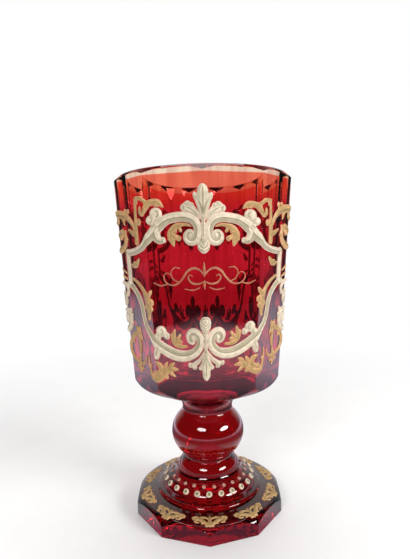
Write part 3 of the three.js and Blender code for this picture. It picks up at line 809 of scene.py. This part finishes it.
# The pale shell between the panels, its left half measured from its middle
shell_half = [
    band([(-0.3, 102.6, 2.2), (3.4, 103.9, 2.3), (8, 104.5, 2.3), (12, 103.9, 2.2), (14.7, 101.8, 2.1),
          (14.2, 99.4, 2), (12.2, 98.9, 1.8), (11.4, 100.2, 1.4)], -1),
    leaf([(0, 103, 1.4), (0, 99.6, 3.4), (0, 95.6, 3.4), (0, 92.6, 1.1)]),
    leaf([(0.7, 102.2, 1), (3.6, 99.8, 2.8), (5, 96.6, 2.6), (5.2, 94.2, 1)]),
    leaf([(3.4, 102.6, 1), (6.8, 100.6, 2.4), (8.8, 98, 2.6), (9.4, 95.8, 1.1)]),
    leaf([(11.6, 98.8, 1.3), (12.2, 96.4, 2.4), (11.7, 94.4, 1.1)]),
    band([(-0.3, 82.9, 2.6), (4, 83.4, 3), (8.6, 83, 3.2), (12.4, 84.2, 3.3), (14.8, 87, 3.2),
          (14.2, 90.3, 3), (11.3, 91.9, 2.9), (8.6, 90.4, 2.6), (8.5, 88, 2.1), (10.1, 87.3, 1.5)], 1),
    leaf([(0, 94, 1.2), (0, 90, 1.8), (0, 86, 2.6)]),
    leaf([(0.4, 84.6, 1.2), (3, 87.2, 2.2), (4.4, 89.6, 2), (4.6, 91.4, 0.9)]),
    lobe(11.3, 88.6, 2.5), lobe(5.6, 87.2, 0.9), lobe(15.1, 92.2, 1.2), lobe(16, 90.2, 0.9),
    bud([(0, 86.4, 1.4), (0, 84.6, 3.2), (0, 83.1, 3.4), (0, 82.2, 1.2)]),
]

# The ochre leaves and sprays round a frame, on its right hand
ochre_strokes = {
    "upper_leaf": [
        leaf([(4.4, 127.2, 0.7), (7.6, 127.9, 1.6), (10.8, 126.9, 2.5), (12.7, 124.4, 3), (12.2, 121.8, 2.4),
              (11.7, 119.9, 0.8)]),
        leaf([(12.4, 124, 1.8), (10, 122.9, 1.9)]),
        leaf([(9.6, 127.2, 1.5), (8.7, 125.5, 1.3)]),
        lobe(9.6, 122.6, 1.05), lobe(13.3, 122.6, 0.9), lobe(11, 125.4, 0.9),
    ],
    "lower_leaf": [
        leaf([(8.4, 80.9, 1.1), (10.5, 80.7, 1.7), (12.9, 81.5, 2.3), (14.1, 83.8, 2.5), (13.3, 87.3, 0.8)]),
        leaf([(12.6, 83, 1.8), (11, 85.2, 1.3)]),
        lobe(14.6, 84.9, 1), lobe(10.9, 82.6, 0.9),
    ],
    "corner_scroll": [
        leaf([(15.4, 134.6, 0.8), (17.5, 136.4, 2.4), (20.7, 136.2, 2.5), (22.5, 134.3, 2.3), (24, 132.4, 2),
              (25.9, 132.9, 1.8), (25.7, 134.8, 1.4)]),
        leaf([(21.5, 136.3, 1.6), (24.8, 138.3, 1.8), (28.8, 138.6, 1.6)]),
        leaf([(28.8, 138.5, 1.6), (29.4, 133.1, 1.8), (30, 127, 2.8), (30.2, 121.4, 3)]),
        leaf([(30.6, 124.5, 2.4), (33.6, 125.4, 2.2), (36.4, 126.7, 1.2)]),
        lobe(27.3, 129.4, 1.5), lobe(17.9, 134.9, 1.1), lobe(28.2, 137.2, 1.1),
    ],
    "shoulder_leaf": [
        leaf([(29.9, 114.7, 1.3), (31.9, 113, 2.5), (34.4, 112.1, 2.2), (36.6, 112.4, 1)]),
        lobe(32.2, 112.4, 1.2), lobe(34, 113, 1),
    ],
    "side_leaf": [
        leaf([(36.4, 106.6, 1.3), (31.8, 104.7, 1.9), (27.9, 101.9, 2.4), (25.5, 98.4, 3.6), (25, 94.6, 3.2),
              (25, 90.9, 1.5)]),
        leaf([(25.8, 99.5, 2.4), (23.6, 101.2, 2.2), (22.6, 102.4, 1)]),
        lobe(23.4, 97.8, 1.7), lobe(23.6, 95.2, 1.4), lobe(27, 95.6, 1.2),
    ],
    "bottom_spray": [
        leaf([(12.9, 71.2, 0.9), (15.2, 71.3, 2.1), (17.6, 70.3, 2.4), (19.5, 68.6, 2.6), (21.6, 67, 2.8),
              (24.4, 66.2, 2.7), (26.7, 66.8, 2.2), (27.8, 68.8, 1.1)]),
        leaf([(17.2, 70.8, 1.6), (15.9, 72.7, 1.9), (14.5, 73.7, 0.9)]),
        leaf([(18.8, 70, 1.5), (18.6, 72.2, 1.9), (17.8, 73.8, 0.8)]),
        leaf([(23.2, 73.6, 0.9), (21.3, 72.7, 2.2), (20.6, 70.8, 2.4), (21.8, 69.1, 2.3), (24.2, 69.4, 1.3)]),
        leaf([(17.2, 70.4, 1.6), (15.8, 69.2, 1.8), (14.4, 68.4, 0.8)]),
        leaf([(26.8, 67.2, 1.6), (27.9, 70, 1.4), (28.5, 72.8, 1.4), (28.2, 75.6, 0.7)]),
        lobe(18.4, 67.8, 1), lobe(24.9, 68.2, 1.1), lobe(27.2, 71.4, 0.8),
    ],
    "side_spray": [
        leaf([(34.2, 83.6, 1.4), (37.2, 83.6, 2.3), (40.6, 82.5, 2.4), (43.5, 80.2, 2.3), (45.2, 77.4, 2.2),
              (44.9, 74.6, 2.1), (43, 72.4, 2), (40.6, 71.4, 1.9), (38.2, 71.2, 1.6)]),
        leaf([(37.6, 86.6, 0.8), (36.6, 84.8, 2.4), (34.8, 82.8, 2.1), (33.2, 81.2, 0.9)]),
        leaf([(36.2, 82, 1.7), (35.7, 79.2, 2), (35.8, 76.8, 1.8), (36.4, 74.8, 0.8)]),
        leaf([(36.6, 74.2, 0.9), (37.6, 71.8, 2.5), (37.8, 69.4, 2.5), (36.9, 66.8, 0.9)]),
        leaf([(37, 70.4, 1.7), (34.2, 71, 1.6), (32, 72.4, 1.3), (30.9, 74.6, 0.7)]),
        lobe(35, 85.6, 1.1), lobe(39.4, 69, 1.1), lobe(35.4, 68.6, 0.9), lobe(41.9, 79.4, 1),
    ],
}

# The crown arch over a shell, one half measured from its middle
crown_arch_half = [
    band([(-0.3, 132.4, 2.6), (3.6, 133, 3), (8.6, 134, 3.4), (13.6, 134.4, 3.5), (18.2, 133.8, 3.3),
          (21.8, 132, 2.9), (24.4, 129.6, 2.3), (25.6, 127.6, 1.4)], -1),
    leaf([(-0.3, 130.4, 1.8), (3.6, 129.9, 2), (7.8, 129.7, 2.1), (11.4, 130.6, 1.9), (12.2, 132, 1.4),
          (10.9, 132.3, 0.9)]),
    leaf([(0, 129.4, 1.4), (0, 132.4, 3), (0, 135.4, 3), (0, 137, 0.9)]),
    leaf([(0.6, 133, 1), (2.6, 135.2, 2.1), (3.9, 136.6, 1.3)]),
    leaf([(13.6, 133.8, 1.4), (16.4, 132, 1.9), (17.2, 129.9, 0.9)]),
    lobe(21, 135.6, 1.2), lobe(18.6, 136, 0.9), lobe(6, 131.6, 0.9),
]

# The crown ring under the arch, one half
crown_ring_half = [
    band([(-0.3, 117.6, 2.3), (3.6, 118.5, 2.8), (8.8, 118.4, 3.1), (13.4, 119.2, 3.1), (16.5, 121.7, 3),
          (16.9, 124.9, 2.8), (14.8, 126.9, 2.5), (12.6, 126, 2), (12.4, 124.2, 1.5), (13.7, 123.6, 1.1)], 1),
    leaf([(0, 117.3, 1.6), (0, 120, 2.7), (0, 122.8, 2.4), (0, 124.6, 0.8)]),
    leaf([(1, 118.6, 1), (3.2, 121, 2), (3.8, 123, 0.9)]),
    leaf([(6.4, 118.8, 1.2), (7.8, 121.4, 2.3), (7, 123.9, 1)]),
    lobe(8.9, 120.6, 0.9), lobe(14.2, 124.9, 1), lobe(18.3, 123.6, 0.9), lobe(17.4, 126.9, 0.9),
]

# Two thin arcs between the ring and the shell, one half of each
rail_half = [
    leaf([(-0.3, 112.5, 1.7), (5, 112.1, 1.6), (10, 110.8, 1.4), (14.7, 108.7, 1)]),
]
low_rail_half = [
    leaf([(-0.3, 109.4, 1.8), (5, 109, 1.7), (10, 107.8, 1.5), (14.7, 106.1, 1.1)]),
]

# A gilt flourish for the middle of a panel, its right half
flourish_half = [
    leaf([(0, 108.6, 0.5), (1.6, 110.6, 0.7), (4, 111.4, 0.9), (6.6, 110.2, 0.9), (8.6, 107.6, 0.8),
          (11, 105.4, 0.7), (14, 104.9, 0.6), (16.4, 106.4, 0.5), (16.6, 108.6, 0.5), (15, 109.6, 0.4),
          (13.8, 108.6, 0.3)]),
    leaf([(0, 106.4, 0.4), (2.4, 105.4, 0.7), (5, 105.8, 0.8), (6.4, 107.6, 0.6), (5.6, 108.9, 0.4),
          (4.5, 108.2, 0.3)]),
    leaf([(10.4, 106, 0.5), (12.8, 107.2, 0.5), (13.6, 109.8, 0.4), (12, 111.6, 0.5), (9.8, 111.4, 0.4)]),
    leaf([(15.4, 105.2, 0.4), (18.4, 104.6, 0.7), (21.2, 105.8, 0.3)]),
    leaf([(0, 103.4, 0.3), (0, 105, 0.8), (0, 106.8, 0.4)]),
    leaf([(0, 108.2, 0.4), (0, 111, 1), (0, 113.6, 0.3)]),
    leaf([(1.8, 104, 0.3), (4.6, 103, 0.5), (8, 103.4, 0.3)]),
]

# A garland for one flat of the foot, one half: across, outwards and the brush's width
garland_half = [
    leaf([(0, 2, 1.3), (1.6, 1.6, 1.7), (3.1, 0.4, 1.9), (4.6, -0.3, 1.7), (5.8, 0.4, 1.3), (5.4, 1.5, 1),
          (4.4, 1.5, 0.7)]),
    leaf([(4.4, -0.6, 1.3), (5.8, -1.3, 1.3), (7.3, -0.8, 0.8)]),
    leaf([(0, 2.9, 1.2), (0, 1.4, 1.5), (0, -0.6, 1.2), (0, -1.8, 0.8)]),
    leaf([(0.3, -0.4, 0.9), (1.6, -1.3, 1.1), (3, -1.2, 0.8)]),
    lobe(2.7, -1.5, 0.7), lobe(3.8, -1.4, 0.6), lobe(2.9, 1.7, 0.6), lobe(1.1, 2.7, 0.7),
    lobe(6.8, -0.2, 0.6),
]


# Materials

def new_material(name):
    material = bpy.data.materials.new(name)
    material.use_nodes = True
    return material


def add_node(holder, kind, **settings):
    node = holder.node_tree.nodes.new(kind)
    for setting, value in settings.items():
        setattr(node, setting, value)
    return node


def join(holder, output, entry):
    holder.node_tree.links.new(output, entry)


def surface(material):
    return material.node_tree.nodes["Principled BSDF"]


def typed(sockets, kind):
    return [socket for socket in sockets if socket.type == kind]


def split_place(holder, output="Object"):
    """The place itself, and its three axes apart."""
    place = add_node(holder, "ShaderNodeTexCoord")
    split = add_node(holder, "ShaderNodeSeparateXYZ")
    join(holder, place.outputs[output], split.inputs["Vector"])
    return place.outputs[output], split.outputs


def noise(material, scale, detail=3, height_scale=1):
    """Noise on the piece's own coordinates, drawn out upwards where its height scale is small."""
    place = add_node(material, "ShaderNodeTexCoord")
    shrink = add_node(material, "ShaderNodeMapping")
    shrink.inputs["Scale"].default_value = (1, 1, height_scale)
    texture = add_node(material, "ShaderNodeTexNoise")
    texture.inputs["Scale"].default_value = scale
    texture.inputs["Detail"].default_value = detail
    join(material, place.outputs["Object"], shrink.inputs["Vector"])
    join(material, shrink.outputs["Vector"], texture.inputs["Vector"])
    return texture.outputs["Fac"]


def ramp(material, factor, stops):
    """Colours at shares along a factor."""
    node = add_node(material, "ShaderNodeValToRGB")
    elements = node.color_ramp.elements
    while len(elements) < len(stops):
        elements.new(0.5)
    for element, (share, colour) in zip(elements, stops):
        element.position = share
        element.color = (*colour, 1)
    join(material, factor, node.inputs["Fac"])
    return node.outputs["Color"]


def mix_of(holder, kind, factor, first, second, **settings):
    """A mix of two colours or two values, each of them fixed or linked."""
    node = add_node(holder, "ShaderNodeMix", data_type=kind, **settings)
    socket_kind = {"RGBA": "RGBA", "FLOAT": "VALUE"}[kind]
    entries = [socket for socket in typed(node.inputs, socket_kind) if socket.name in ("A", "B")]
    for entry, value in zip(entries, (first, second)):
        if isinstance(value, tuple):
            entry.default_value = (*value, 1)
        elif isinstance(value, float):
            entry.default_value = value
        else:
            join(holder, value, entry)
    if factor is None:
        node.inputs["Factor"].default_value = 1
    else:
        join(holder, factor, node.inputs["Factor"])
    return typed(node.outputs, socket_kind)[0]


def mixed(material, factor, first, second):
    return mix_of(material, "RGBA", factor, first, second)


def times(material, first, second):
    return mix_of(material, "RGBA", None, first, second, blend_type="MULTIPLY")


def stretch(material, value, low, high, to_low=0.0, to_high=1.0):
    node = add_node(material, "ShaderNodeMapRange", clamp=True)
    node.inputs["From Min"].default_value = low
    node.inputs["From Max"].default_value = high
    node.inputs["To Min"].default_value = to_low
    node.inputs["To Max"].default_value = to_high
    join(material, value, node.inputs["Value"])
    return node.outputs["Result"]


def worked_out(holder, operation, *values, clamped=False):
    node = add_node(holder, "ShaderNodeMath", operation=operation, use_clamp=clamped)
    for entry, value in zip(node.inputs, values):
        join(holder, value, entry)
    return node.outputs["Value"]


def bumped(material, height, depth, strength):
    node = add_node(material, "ShaderNodeBump")
    node.inputs["Strength"].default_value = strength
    node.inputs["Distance"].default_value = depth * MM
    join(material, height, node.inputs["Height"])
    join(material, node.outputs["Normal"], surface(material).inputs["Normal"])


def smudged(material, scale, roughness):
    """Finger marks: clean glass, with patches a little less smooth."""
    smudge = stretch(material, noise(material, scale, detail=5), 0.5, 0.75, 0.0, roughness)
    join(material, smudge, surface(material).inputs["Roughness"])


def ruby_glass(name, levels, run_down=0.0, gloss=0.0, milky=None):
    """Clear glass whose outer skin is stained, deeper or paler by height, clouded and streaked."""
    material = new_material(name)
    shader = surface(material)
    shader.inputs["Transmission Weight"].default_value = 1
    shader.inputs["IOR"].default_value = GLASS_IOR
    shader.inputs["Coat Weight"].default_value = gloss
    height = split_place(material)[1]["Z"]
    if milky:
        bottom, top, share = milky
        clear = stretch(material, height, bottom * MM, top * MM, 1 - share, 1.0)
        join(material, clear, shader.inputs["Transmission Weight"])
    low, high = levels[0][0] * MM, levels[-1][0] * MM
    stops = [((level * MM - low) / (high - low), colour) for level, colour in levels]
    stain = ramp(material, stretch(material, height, low, high), stops)
    cloud = stretch(material, noise(material, scale=90), 0.35, 0.65)
    stain = times(material, stain, mixed(material, cloud, CLEAR, CLOUDED))
    if run_down:
        run = stretch(material, noise(material, scale=260, height_scale=0.12), 0.4, 0.62)
        streak = (1 - run_down / 2, 1 - run_down, 1 - run_down)
        stain = times(material, stain, mixed(material, run, CLEAR, streak))
    join(material, stain, shader.inputs["Base Color"])
    smudged(material, scale=240, roughness=0.025)
    bumped(material, noise(material, scale=45, detail=1), depth=0.05, strength=0.3)
    return material


def clear_glass():
    material = new_material("clear glass")
    shader = surface(material)
    shader.inputs["Base Color"].default_value = (*CLEAR_TINT, 1)
    shader.inputs["Transmission Weight"].default_value = 1
    shader.inputs["IOR"].default_value = GLASS_IOR
    smudged(material, scale=300, roughness=0.04)
    bumped(material, noise(material, scale=60, detail=1), depth=0.04, strength=0.3)
    return material


def fused_seam():
    """Where two gathers of hot glass ran together: nothing bends the light there."""
    material = new_material("fused seam")
    shader = surface(material)
    shader.inputs["Transmission Weight"].default_value = 1
    shader.inputs["IOR"].default_value = 1
    shader.inputs["Roughness"].default_value = 0
    cord = stretch(material, noise(material, scale=180), 0.4, 0.7)
    join(material, mixed(material, cord, CLEAR, SEAM_CORD), shader.inputs["Base Color"])
    return material


def fired_enamel(name, body, shade, line_colour, edge_colour):
    """Raised enamel: mottled body, painted lines in its grooves, and a thin tinted edge."""
    material = new_material(name)
    shader = surface(material)
    mottle = stretch(material, noise(material, scale=520, detail=5), 0.38, 0.62)
    colour = mixed(material, mottle, body, shade)
    painted = add_node(material, "ShaderNodeAttribute", attribute_name="line")
    lines = stretch(material, painted.outputs["Fac"], 0.06, 0.8, 0.0, 0.92)
    colour = mixed(material, lines, colour, line_colour)
    edge = add_node(material, "ShaderNodeAttribute", attribute_name="from_edge")
    rim = stretch(material, edge.outputs["Fac"], 0.0, 0.45, 0.75, 0.0)
    colour = mixed(material, rim, colour, edge_colour)
    join(material, colour, shader.inputs["Base Color"])
    satin = stretch(material, noise(material, scale=500), 0.3, 0.7, 0.34, 0.5)
    join(material, satin, shader.inputs["Roughness"])
    bumped(material, noise(material, scale=1600, detail=4), depth=0.08, strength=0.5)
    return material


def seen_directly(holder):
    """1 for rays from the camera, from glass and from gloss; 0 for the light on the object."""
    rays = add_node(holder, "ShaderNodeLightPath").outputs
    seen = worked_out(holder, "MAXIMUM", rays["Is Camera Ray"], rays["Is Glossy Ray"])
    return worked_out(holder, "MAXIMUM", seen, rays["Is Transmission Ray"])


def glow_of(material, strength):
    node = add_node(material, "ShaderNodeEmission")
    node.inputs["Strength"].default_value = strength
    return node


def shaders_mixed(material, factor, first, second):
    node = add_node(material, "ShaderNodeMixShader")
    join(material, factor, node.inputs["Fac"])
    join(material, first, node.inputs[1])
    join(material, second, node.inputs[2])
    return node.outputs["Shader"]


def painted_reflection(material, distance, axes):
    """A painted reflection: strips, red light and a lit patch with dim sides, which polished glass mirrors in
    place of the paper.
    """
    strips = ramp(material, stretch(material, distance, 0.0, STRIP_REACH), STRIPS)
    aside = worked_out(material, "ABSOLUTE", axes["X"])
    close = mixed(material, stretch(material, aside, RED_FROM, RED_TO), PAINTED_RED_LIGHT, CLOSE_GREY)
    strips = mixed(material, stretch(material, distance, CLOSE_FROM, CLOSE_TO), close, strips)
    lit_width = stretch(material, axes["Y"], LIT_NEAR, LIT_FAR, LIT_NEAR_WIDTH, LIT_FAR_WIDTH)
    past_light = worked_out(material, "SUBTRACT", aside, lit_width)
    return mixed(material, stretch(material, past_light, -LIT_EDGE, LIT_EDGE), strips, UNLIT)


def paper_with_painted_reflection():
    material = new_material("white paper with painted reflection")
    shader = surface(material)
    shader.inputs["Roughness"].default_value = 0.95
    shader.inputs["Specular IOR Level"].default_value = 0
    fibres = stretch(material, noise(material, scale=60), 0.3, 0.7)
    join(material, mixed(material, fibres, PAPER_TINT, PAPER_FIBRE), shader.inputs["Base Color"])
    place, axes = split_place(material)
    away = add_node(material, "ShaderNodeVectorMath", operation="LENGTH")
    join(material, place, away.inputs["Vector"])
    distance = away.outputs["Value"]
    far = stretch(material, distance, WHITE_FROM, WHITE_AT)
    share = worked_out(material, "MULTIPLY", far, seen_directly(material))
    glow = glow_of(material, 1)
    paper = shaders_mixed(material, share, shader.outputs["BSDF"], glow.outputs["Emission"])
    # The painted reflection glows in place of the paper, for reflected rays only
    painted_reflection_glow = glow_of(material, PAINTED_REFLECTION_STRENGTH)
    join(material, painted_reflection(material, distance, axes), painted_reflection_glow.inputs["Color"])
    rays = add_node(material, "ShaderNodeLightPath").outputs
    only_gloss = worked_out(
        material, "SUBTRACT", rays["Is Glossy Ray"], rays["Is Transmission Ray"], clamped=True
    )
    last = shaders_mixed(material, only_gloss, paper, painted_reflection_glow.outputs["Emission"])
    join(material, last, material.node_tree.nodes["Material Output"].inputs["Surface"])
    return material


WALL_GLASS = ruby_glass("ruby stained wall", [
    (BOWL_BASE, STEM_STAIN), (CONE_TOP + 2, CONE_STAIN),
    (PANEL_BOTTOM + 3, BASE_STAIN), (PANEL_BOTTOM + 12, BASE_STAIN),
    (PANEL_BOTTOM + 20, DEEP_STAIN), (PANEL_BOTTOM + 40, DEEP_STAIN),
    (PANEL_BOTTOM + 50, WALL_STAIN), (LIP_TOP - 14, WALL_STAIN),
    (LIP_TOP - 8, HIGH_STAIN), (LIP_TOP - 3.1, HIGH_STAIN),
    (LIP_TOP - 2.9, LIP_FLASH), (LIP_TOP, LIP_FLASH),
], run_down=0.5, gloss=0.3, milky=(PANEL_BOTTOM + 5, PANEL_BOTTOM + 16, 0.08))
LIP_GLASS = ruby_glass("ruby stained lip", [(LIP_TOP - 4, LIP_STAIN), (LIP_TOP, LIP_STAIN)])
STEM_GLASS = ruby_glass(
    "ruby stained stem", [(0, STEM_STAIN), (BOWL_BASE, STEM_STAIN)], run_down=0.2, gloss=0.3
)
CLEAR_GLASS = clear_glass()
FUSED_SEAM = fused_seam()
CREAM = fired_enamel("cream enamel", *CREAM_PAINT)
OCHRE = fired_enamel("ochre enamel", *OCHRE_PAINT)
ROSE = fired_enamel("rose enamel", *ROSE_PAINT)
GILT = fired_enamel("worn gilding", *GILT_PAINT)
YELLOW = fired_enamel("yellow ochre enamel", *YELLOW_PAINT)


def paint(piece, *materials):
    piece.data.materials.clear()
    for material in materials:
        piece.data.materials.append(material)


def stain_bowl(bowl):
    """Stained outside and on the lip; the bore and the seam with the knop are clear."""
    paint(bowl, WALL_GLASS, CLEAR_GLASS, LIP_GLASS, FUSED_SEAM)
    for face in bowl.data.polygons:
        height = face.center.z / MM
        radius = face.center.xy.length / MM
        if height < BOWL_BASE + SEAM_REACH:
            face.material_index = 3
        elif height > FLOOR - BORE_REACH and radius < bore(height) + BORE_SPARE:
            face.material_index = 1
        elif face.normal.z > LIP_SLOPE:
            face.material_index = 2
        else:
            face.material_index = 0


def stain_stem(piece, *seams):
    """Stained outside; the fused seams at the given levels are clear."""
    paint(piece, STEM_GLASS, FUSED_SEAM)
    for face in piece.data.polygons:
        height = face.center.z / MM
        face.material_index = int(any(abs(height - seam) < SEAM_REACH for seam in seams))


# Making and placing the pieces

def settle(piece, slot, *nodes):
    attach(piece, "root")
    if nodes:
        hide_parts(*nodes)


def lay_round(flat, copies, material, slot):
    """Copies a flat sheet onto the wall wherever it is wanted: name, turn, mirrored, node."""
    for name, turn, mirrored, node in copies:
        piece = copy_of(flat, name, mirrored)
        bend_to_wall(piece, turn)
        paint(piece, material)
        settle(piece, slot, *([node] if node else []))
    bpy.data.objects.remove(flat)


def make_dot(radius, height):
    """A dab of enamel with a raised rim and a dimple where the brush was lifted."""
    outline = [(0, -DOT_SINK), (radius * DOT_BASE, -DOT_SINK)]
    outline += [(radius * across, height * up) for across, up in DOT_OUTLINE]
    dot = turned("dot", outline, DOT_SIDES)
    places = coordinates(dot) / MM
    from_middle = np.hypot(places[:, 0], places[:, 1]) / radius
    from_edge = (1 - from_middle) * radius + places[:, 2] * EDGE_PER_HEIGHT
    store(dot, "from_edge", np.clip(from_edge, 0, None))
    store(dot, "line", ease(DIMPLE_EDGE - from_middle, DIMPLE_EASE))
    take(dot)
    bpy.ops.object.shade_smooth()
    return dot


def ring_of_dots(name, dot, seat, lean, first=0.0):
    """Seats copies of a dot round the dome, square to it, and joins them."""
    dots = []
    for i in range(DOT_COUNT):
        twin = copy_of(dot, f"{name}_{i + 1}")
        round_dome = Matrix.Rotation(FULL_TURN * (i + first) / DOT_COUNT, 3, "Z")
        tilted = round_dome @ Matrix.Rotation(math.radians(lean), 3, "X")
        middle = round_dome @ Vector((0, -seat[0], seat[1])) * MM
        place_all(twin, coordinates(twin) @ np.array(tilted).T + np.array(middle))
        dots.append(twin)
    bpy.data.objects.remove(dot)
    let_go()
    for twin in dots:
        twin.select_set(True)
    bpy.context.view_layer.objects.active = dots[0]
    bpy.ops.object.join()
    return new_piece(name)


def make_floor():
    let_go()
    bpy.ops.mesh.primitive_plane_add(size=1)
    sheet = new_piece("paper_floor")
    edit(sheet)
    bpy.ops.transform.resize(value=(*PAPER_SIZE, 1))
    bpy.ops.transform.translate(value=(0, PAPER_FORWARD, -PAPER_DROP))
    done()
    return sheet


# The glass

bowl = make_bowl()
stain_bowl(bowl)
settle(bowl, "ruby_glass", "bowl")
knop = make_knop()
stain_stem(knop, KNOP_BASE, BOWL_BASE)
settle(knop, "ruby_glass", "knop")
foot = make_foot()
stain_stem(foot, KNOP_BASE)
settle(foot, "ruby_glass", "foot")

# The enamel on the wall

sides = (("right", 90), ("left", 270))
frame_flat = enamel_sheet("frame_flat", frame_half, PALE_THICKNESS, both_hands=True)
lay_round(frame_flat, [
    ("enamel_front_frame", 0, False, "front_frame"), ("enamel_back_frame", 180, False, "back_frame"),
], CREAM, "cream_enamel")
shell_flat = enamel_sheet("shell_flat", shell_half, PALE_THICKNESS, both_hands=True)
lay_round(shell_flat, [
    (f"enamel_{side}_shell", turn, False, f"{side}_shell") for side, turn in sides
], CREAM, "cream_enamel")
for part, strokes in ochre_strokes.items():
    flat = enamel_sheet(part, strokes, OCHRE_THICKNESS, keep_clear=frame_half)
    lay_round(flat, [
        (f"enamel_{panel}_{hand}_{part}", turn, hand == "left", f"{panel}_{hand}_{part}")
        for panel, turn in (("front", 0), ("back", 180)) for hand in ("right", "left")
    ], OCHRE, "ochre_enamel")
for part, strokes in (("crown_arch", crown_arch_half), ("crown_ring", crown_ring_half)):
    flat = enamel_sheet(part, strokes, OCHRE_THICKNESS, both_hands=True)
    lay_round(flat, [
        (f"enamel_{side}_{part}", turn, False, f"{side}_{part}") for side, turn in sides
    ], OCHRE, "ochre_enamel")
for part, strokes in (("upper_rail", rail_half), ("lower_rail", low_rail_half)):
    flat = enamel_sheet(part, strokes, RAIL_THICKNESS, both_hands=True)
    lay_round(flat, [
        (f"enamel_{side}_{part}", turn, False, None) for side, turn in sides
    ], OCHRE, "ochre_enamel")

# The enamel on the foot

garland_flat = enamel_sheet("garland", garland_half, GARLAND_THICKNESS, GARLAND_CELL, both_hands=True)
for i in range(FLAT_COUNT):
    garland = copy_of(garland_flat, f"enamel_garland_{i + 1}")
    bend_to_flange(garland, 360 * i / FLAT_COUNT)
    paint(garland, YELLOW)
    settle(garland, "ochre_enamel", f"foot_garland_{i + 1}")
bpy.data.objects.remove(garland_flat)

# The gilding

flourish_flat = enamel_sheet("flourish", flourish_half, FLOURISH_THICKNESS, FINE_CELL, both_hands=True)
lay_round(flourish_flat, [("gilt_front_flourish", 0, False, None)], GILT, "ochre_enamel")

# The dots: the large ones half way down the dome's shoulder, the small ones between them and higher

large_seat = sweep(DOME_FOOT, DOME_PULL, DOME_BEND, 2)[1]
large_dot = make_dot(LARGE_DOT_RADIUS, LARGE_DOT_HEIGHT)
large_dots = ring_of_dots("enamel_large_dots", large_dot, large_seat, LARGE_DOT_LEAN)
paint(large_dots, CREAM)
settle(large_dots, "cream_enamel", "foot")
small_dot = make_dot(SMALL_DOT_RADIUS, SMALL_DOT_HEIGHT)
small_dots = ring_of_dots("enamel_small_dots", small_dot, SMALL_DOT_SEAT, SMALL_DOT_LEAN, first=0.5)
paint(small_dots, ROSE)
settle(small_dots, "cream_enamel", "foot")

# The floor

floor = make_floor()
paint(floor, paper_with_painted_reflection())


# Light and camera

def light_room():
    """A white backdrop behind, and a dim room in front that only reflections and glass show."""
    world = bpy.data.worlds.new("studio room")
    scene.world = world
    world.use_nodes = True
    backdrop = world.node_tree.nodes["Background"]
    depth = split_place(world, "Generated")[1]["Y"]
    reflected = stretch(world, depth, REFLECTED_FROM, REFLECTED_TO, ROOM_REFLECTED, 1.0)
    through = stretch(world, depth, THROUGH_FROM, THROUGH_TO, ROOM_THROUGH, 1.0)
    rays = add_node(world, "ShaderNodeLightPath").outputs
    level = mix_of(world, "FLOAT", rays["Is Glossy Ray"], AMBIENT, reflected)
    level = mix_of(world, "FLOAT", rays["Is Transmission Ray"], level, through)
    level = mix_of(world, "FLOAT", rays["Is Camera Ray"], level, 1.0)
    join(world, level, backdrop.inputs["Strength"])
    backdrop.inputs["Color"].default_value = (1, 1, 1, 1)


def window_light(name, azimuth, elevation, distance, size, power):
    place = Vector((
        distance * math.sin(math.radians(azimuth)) * math.cos(math.radians(elevation)),
        -distance * math.cos(math.radians(azimuth)) * math.cos(math.radians(elevation)),
        distance * math.sin(math.radians(elevation)),
    ))
    let_go()
    bpy.ops.object.light_add(type="AREA", location=place)
    lamp = bpy.context.view_layer.objects.active
    lamp.name = name
    lamp.data.shape = "ELLIPSE"
    lamp.data.size, lamp.data.size_y = size
    lamp.data.energy = power
    lamp.rotation_euler = (LAMP_AIM - place).to_track_quat("-Z", "Y").to_euler()


def place_camera():
    let_go()
    bpy.ops.object.camera_add(location=Vector(CAMERA_PLACE) * MM)
    camera = bpy.context.view_layer.objects.active
    camera.data.sensor_fit = "VERTICAL"
    camera.data.sensor_width = SENSOR
    camera.data.sensor_height = SENSOR
    camera.data.lens = FOCAL_PIXELS * SENSOR / FRAME_HEIGHT_PIXELS
    camera.data.clip_start = CLIP_START
    aim = Matrix.Rotation(math.pi / 2 - TILT, 3, "X") @ Matrix.Rotation(ROLL, 3, "Z")
    camera.rotation_euler = aim.to_euler()
    scene.camera = camera


light_room()
window_light("left window", azimuth=-22, elevation=34, distance=1.0, size=(0.46, 0.21), power=3.6)
window_light("right window", azimuth=58, elevation=27, distance=1.0, size=(0.50, 0.21), power=6.2)
window_light("ceiling", azimuth=180, elevation=75, distance=1.2, size=(0.9, 0.9), power=6.5)
place_camera()
scene.view_settings.view_transform = "Standard"
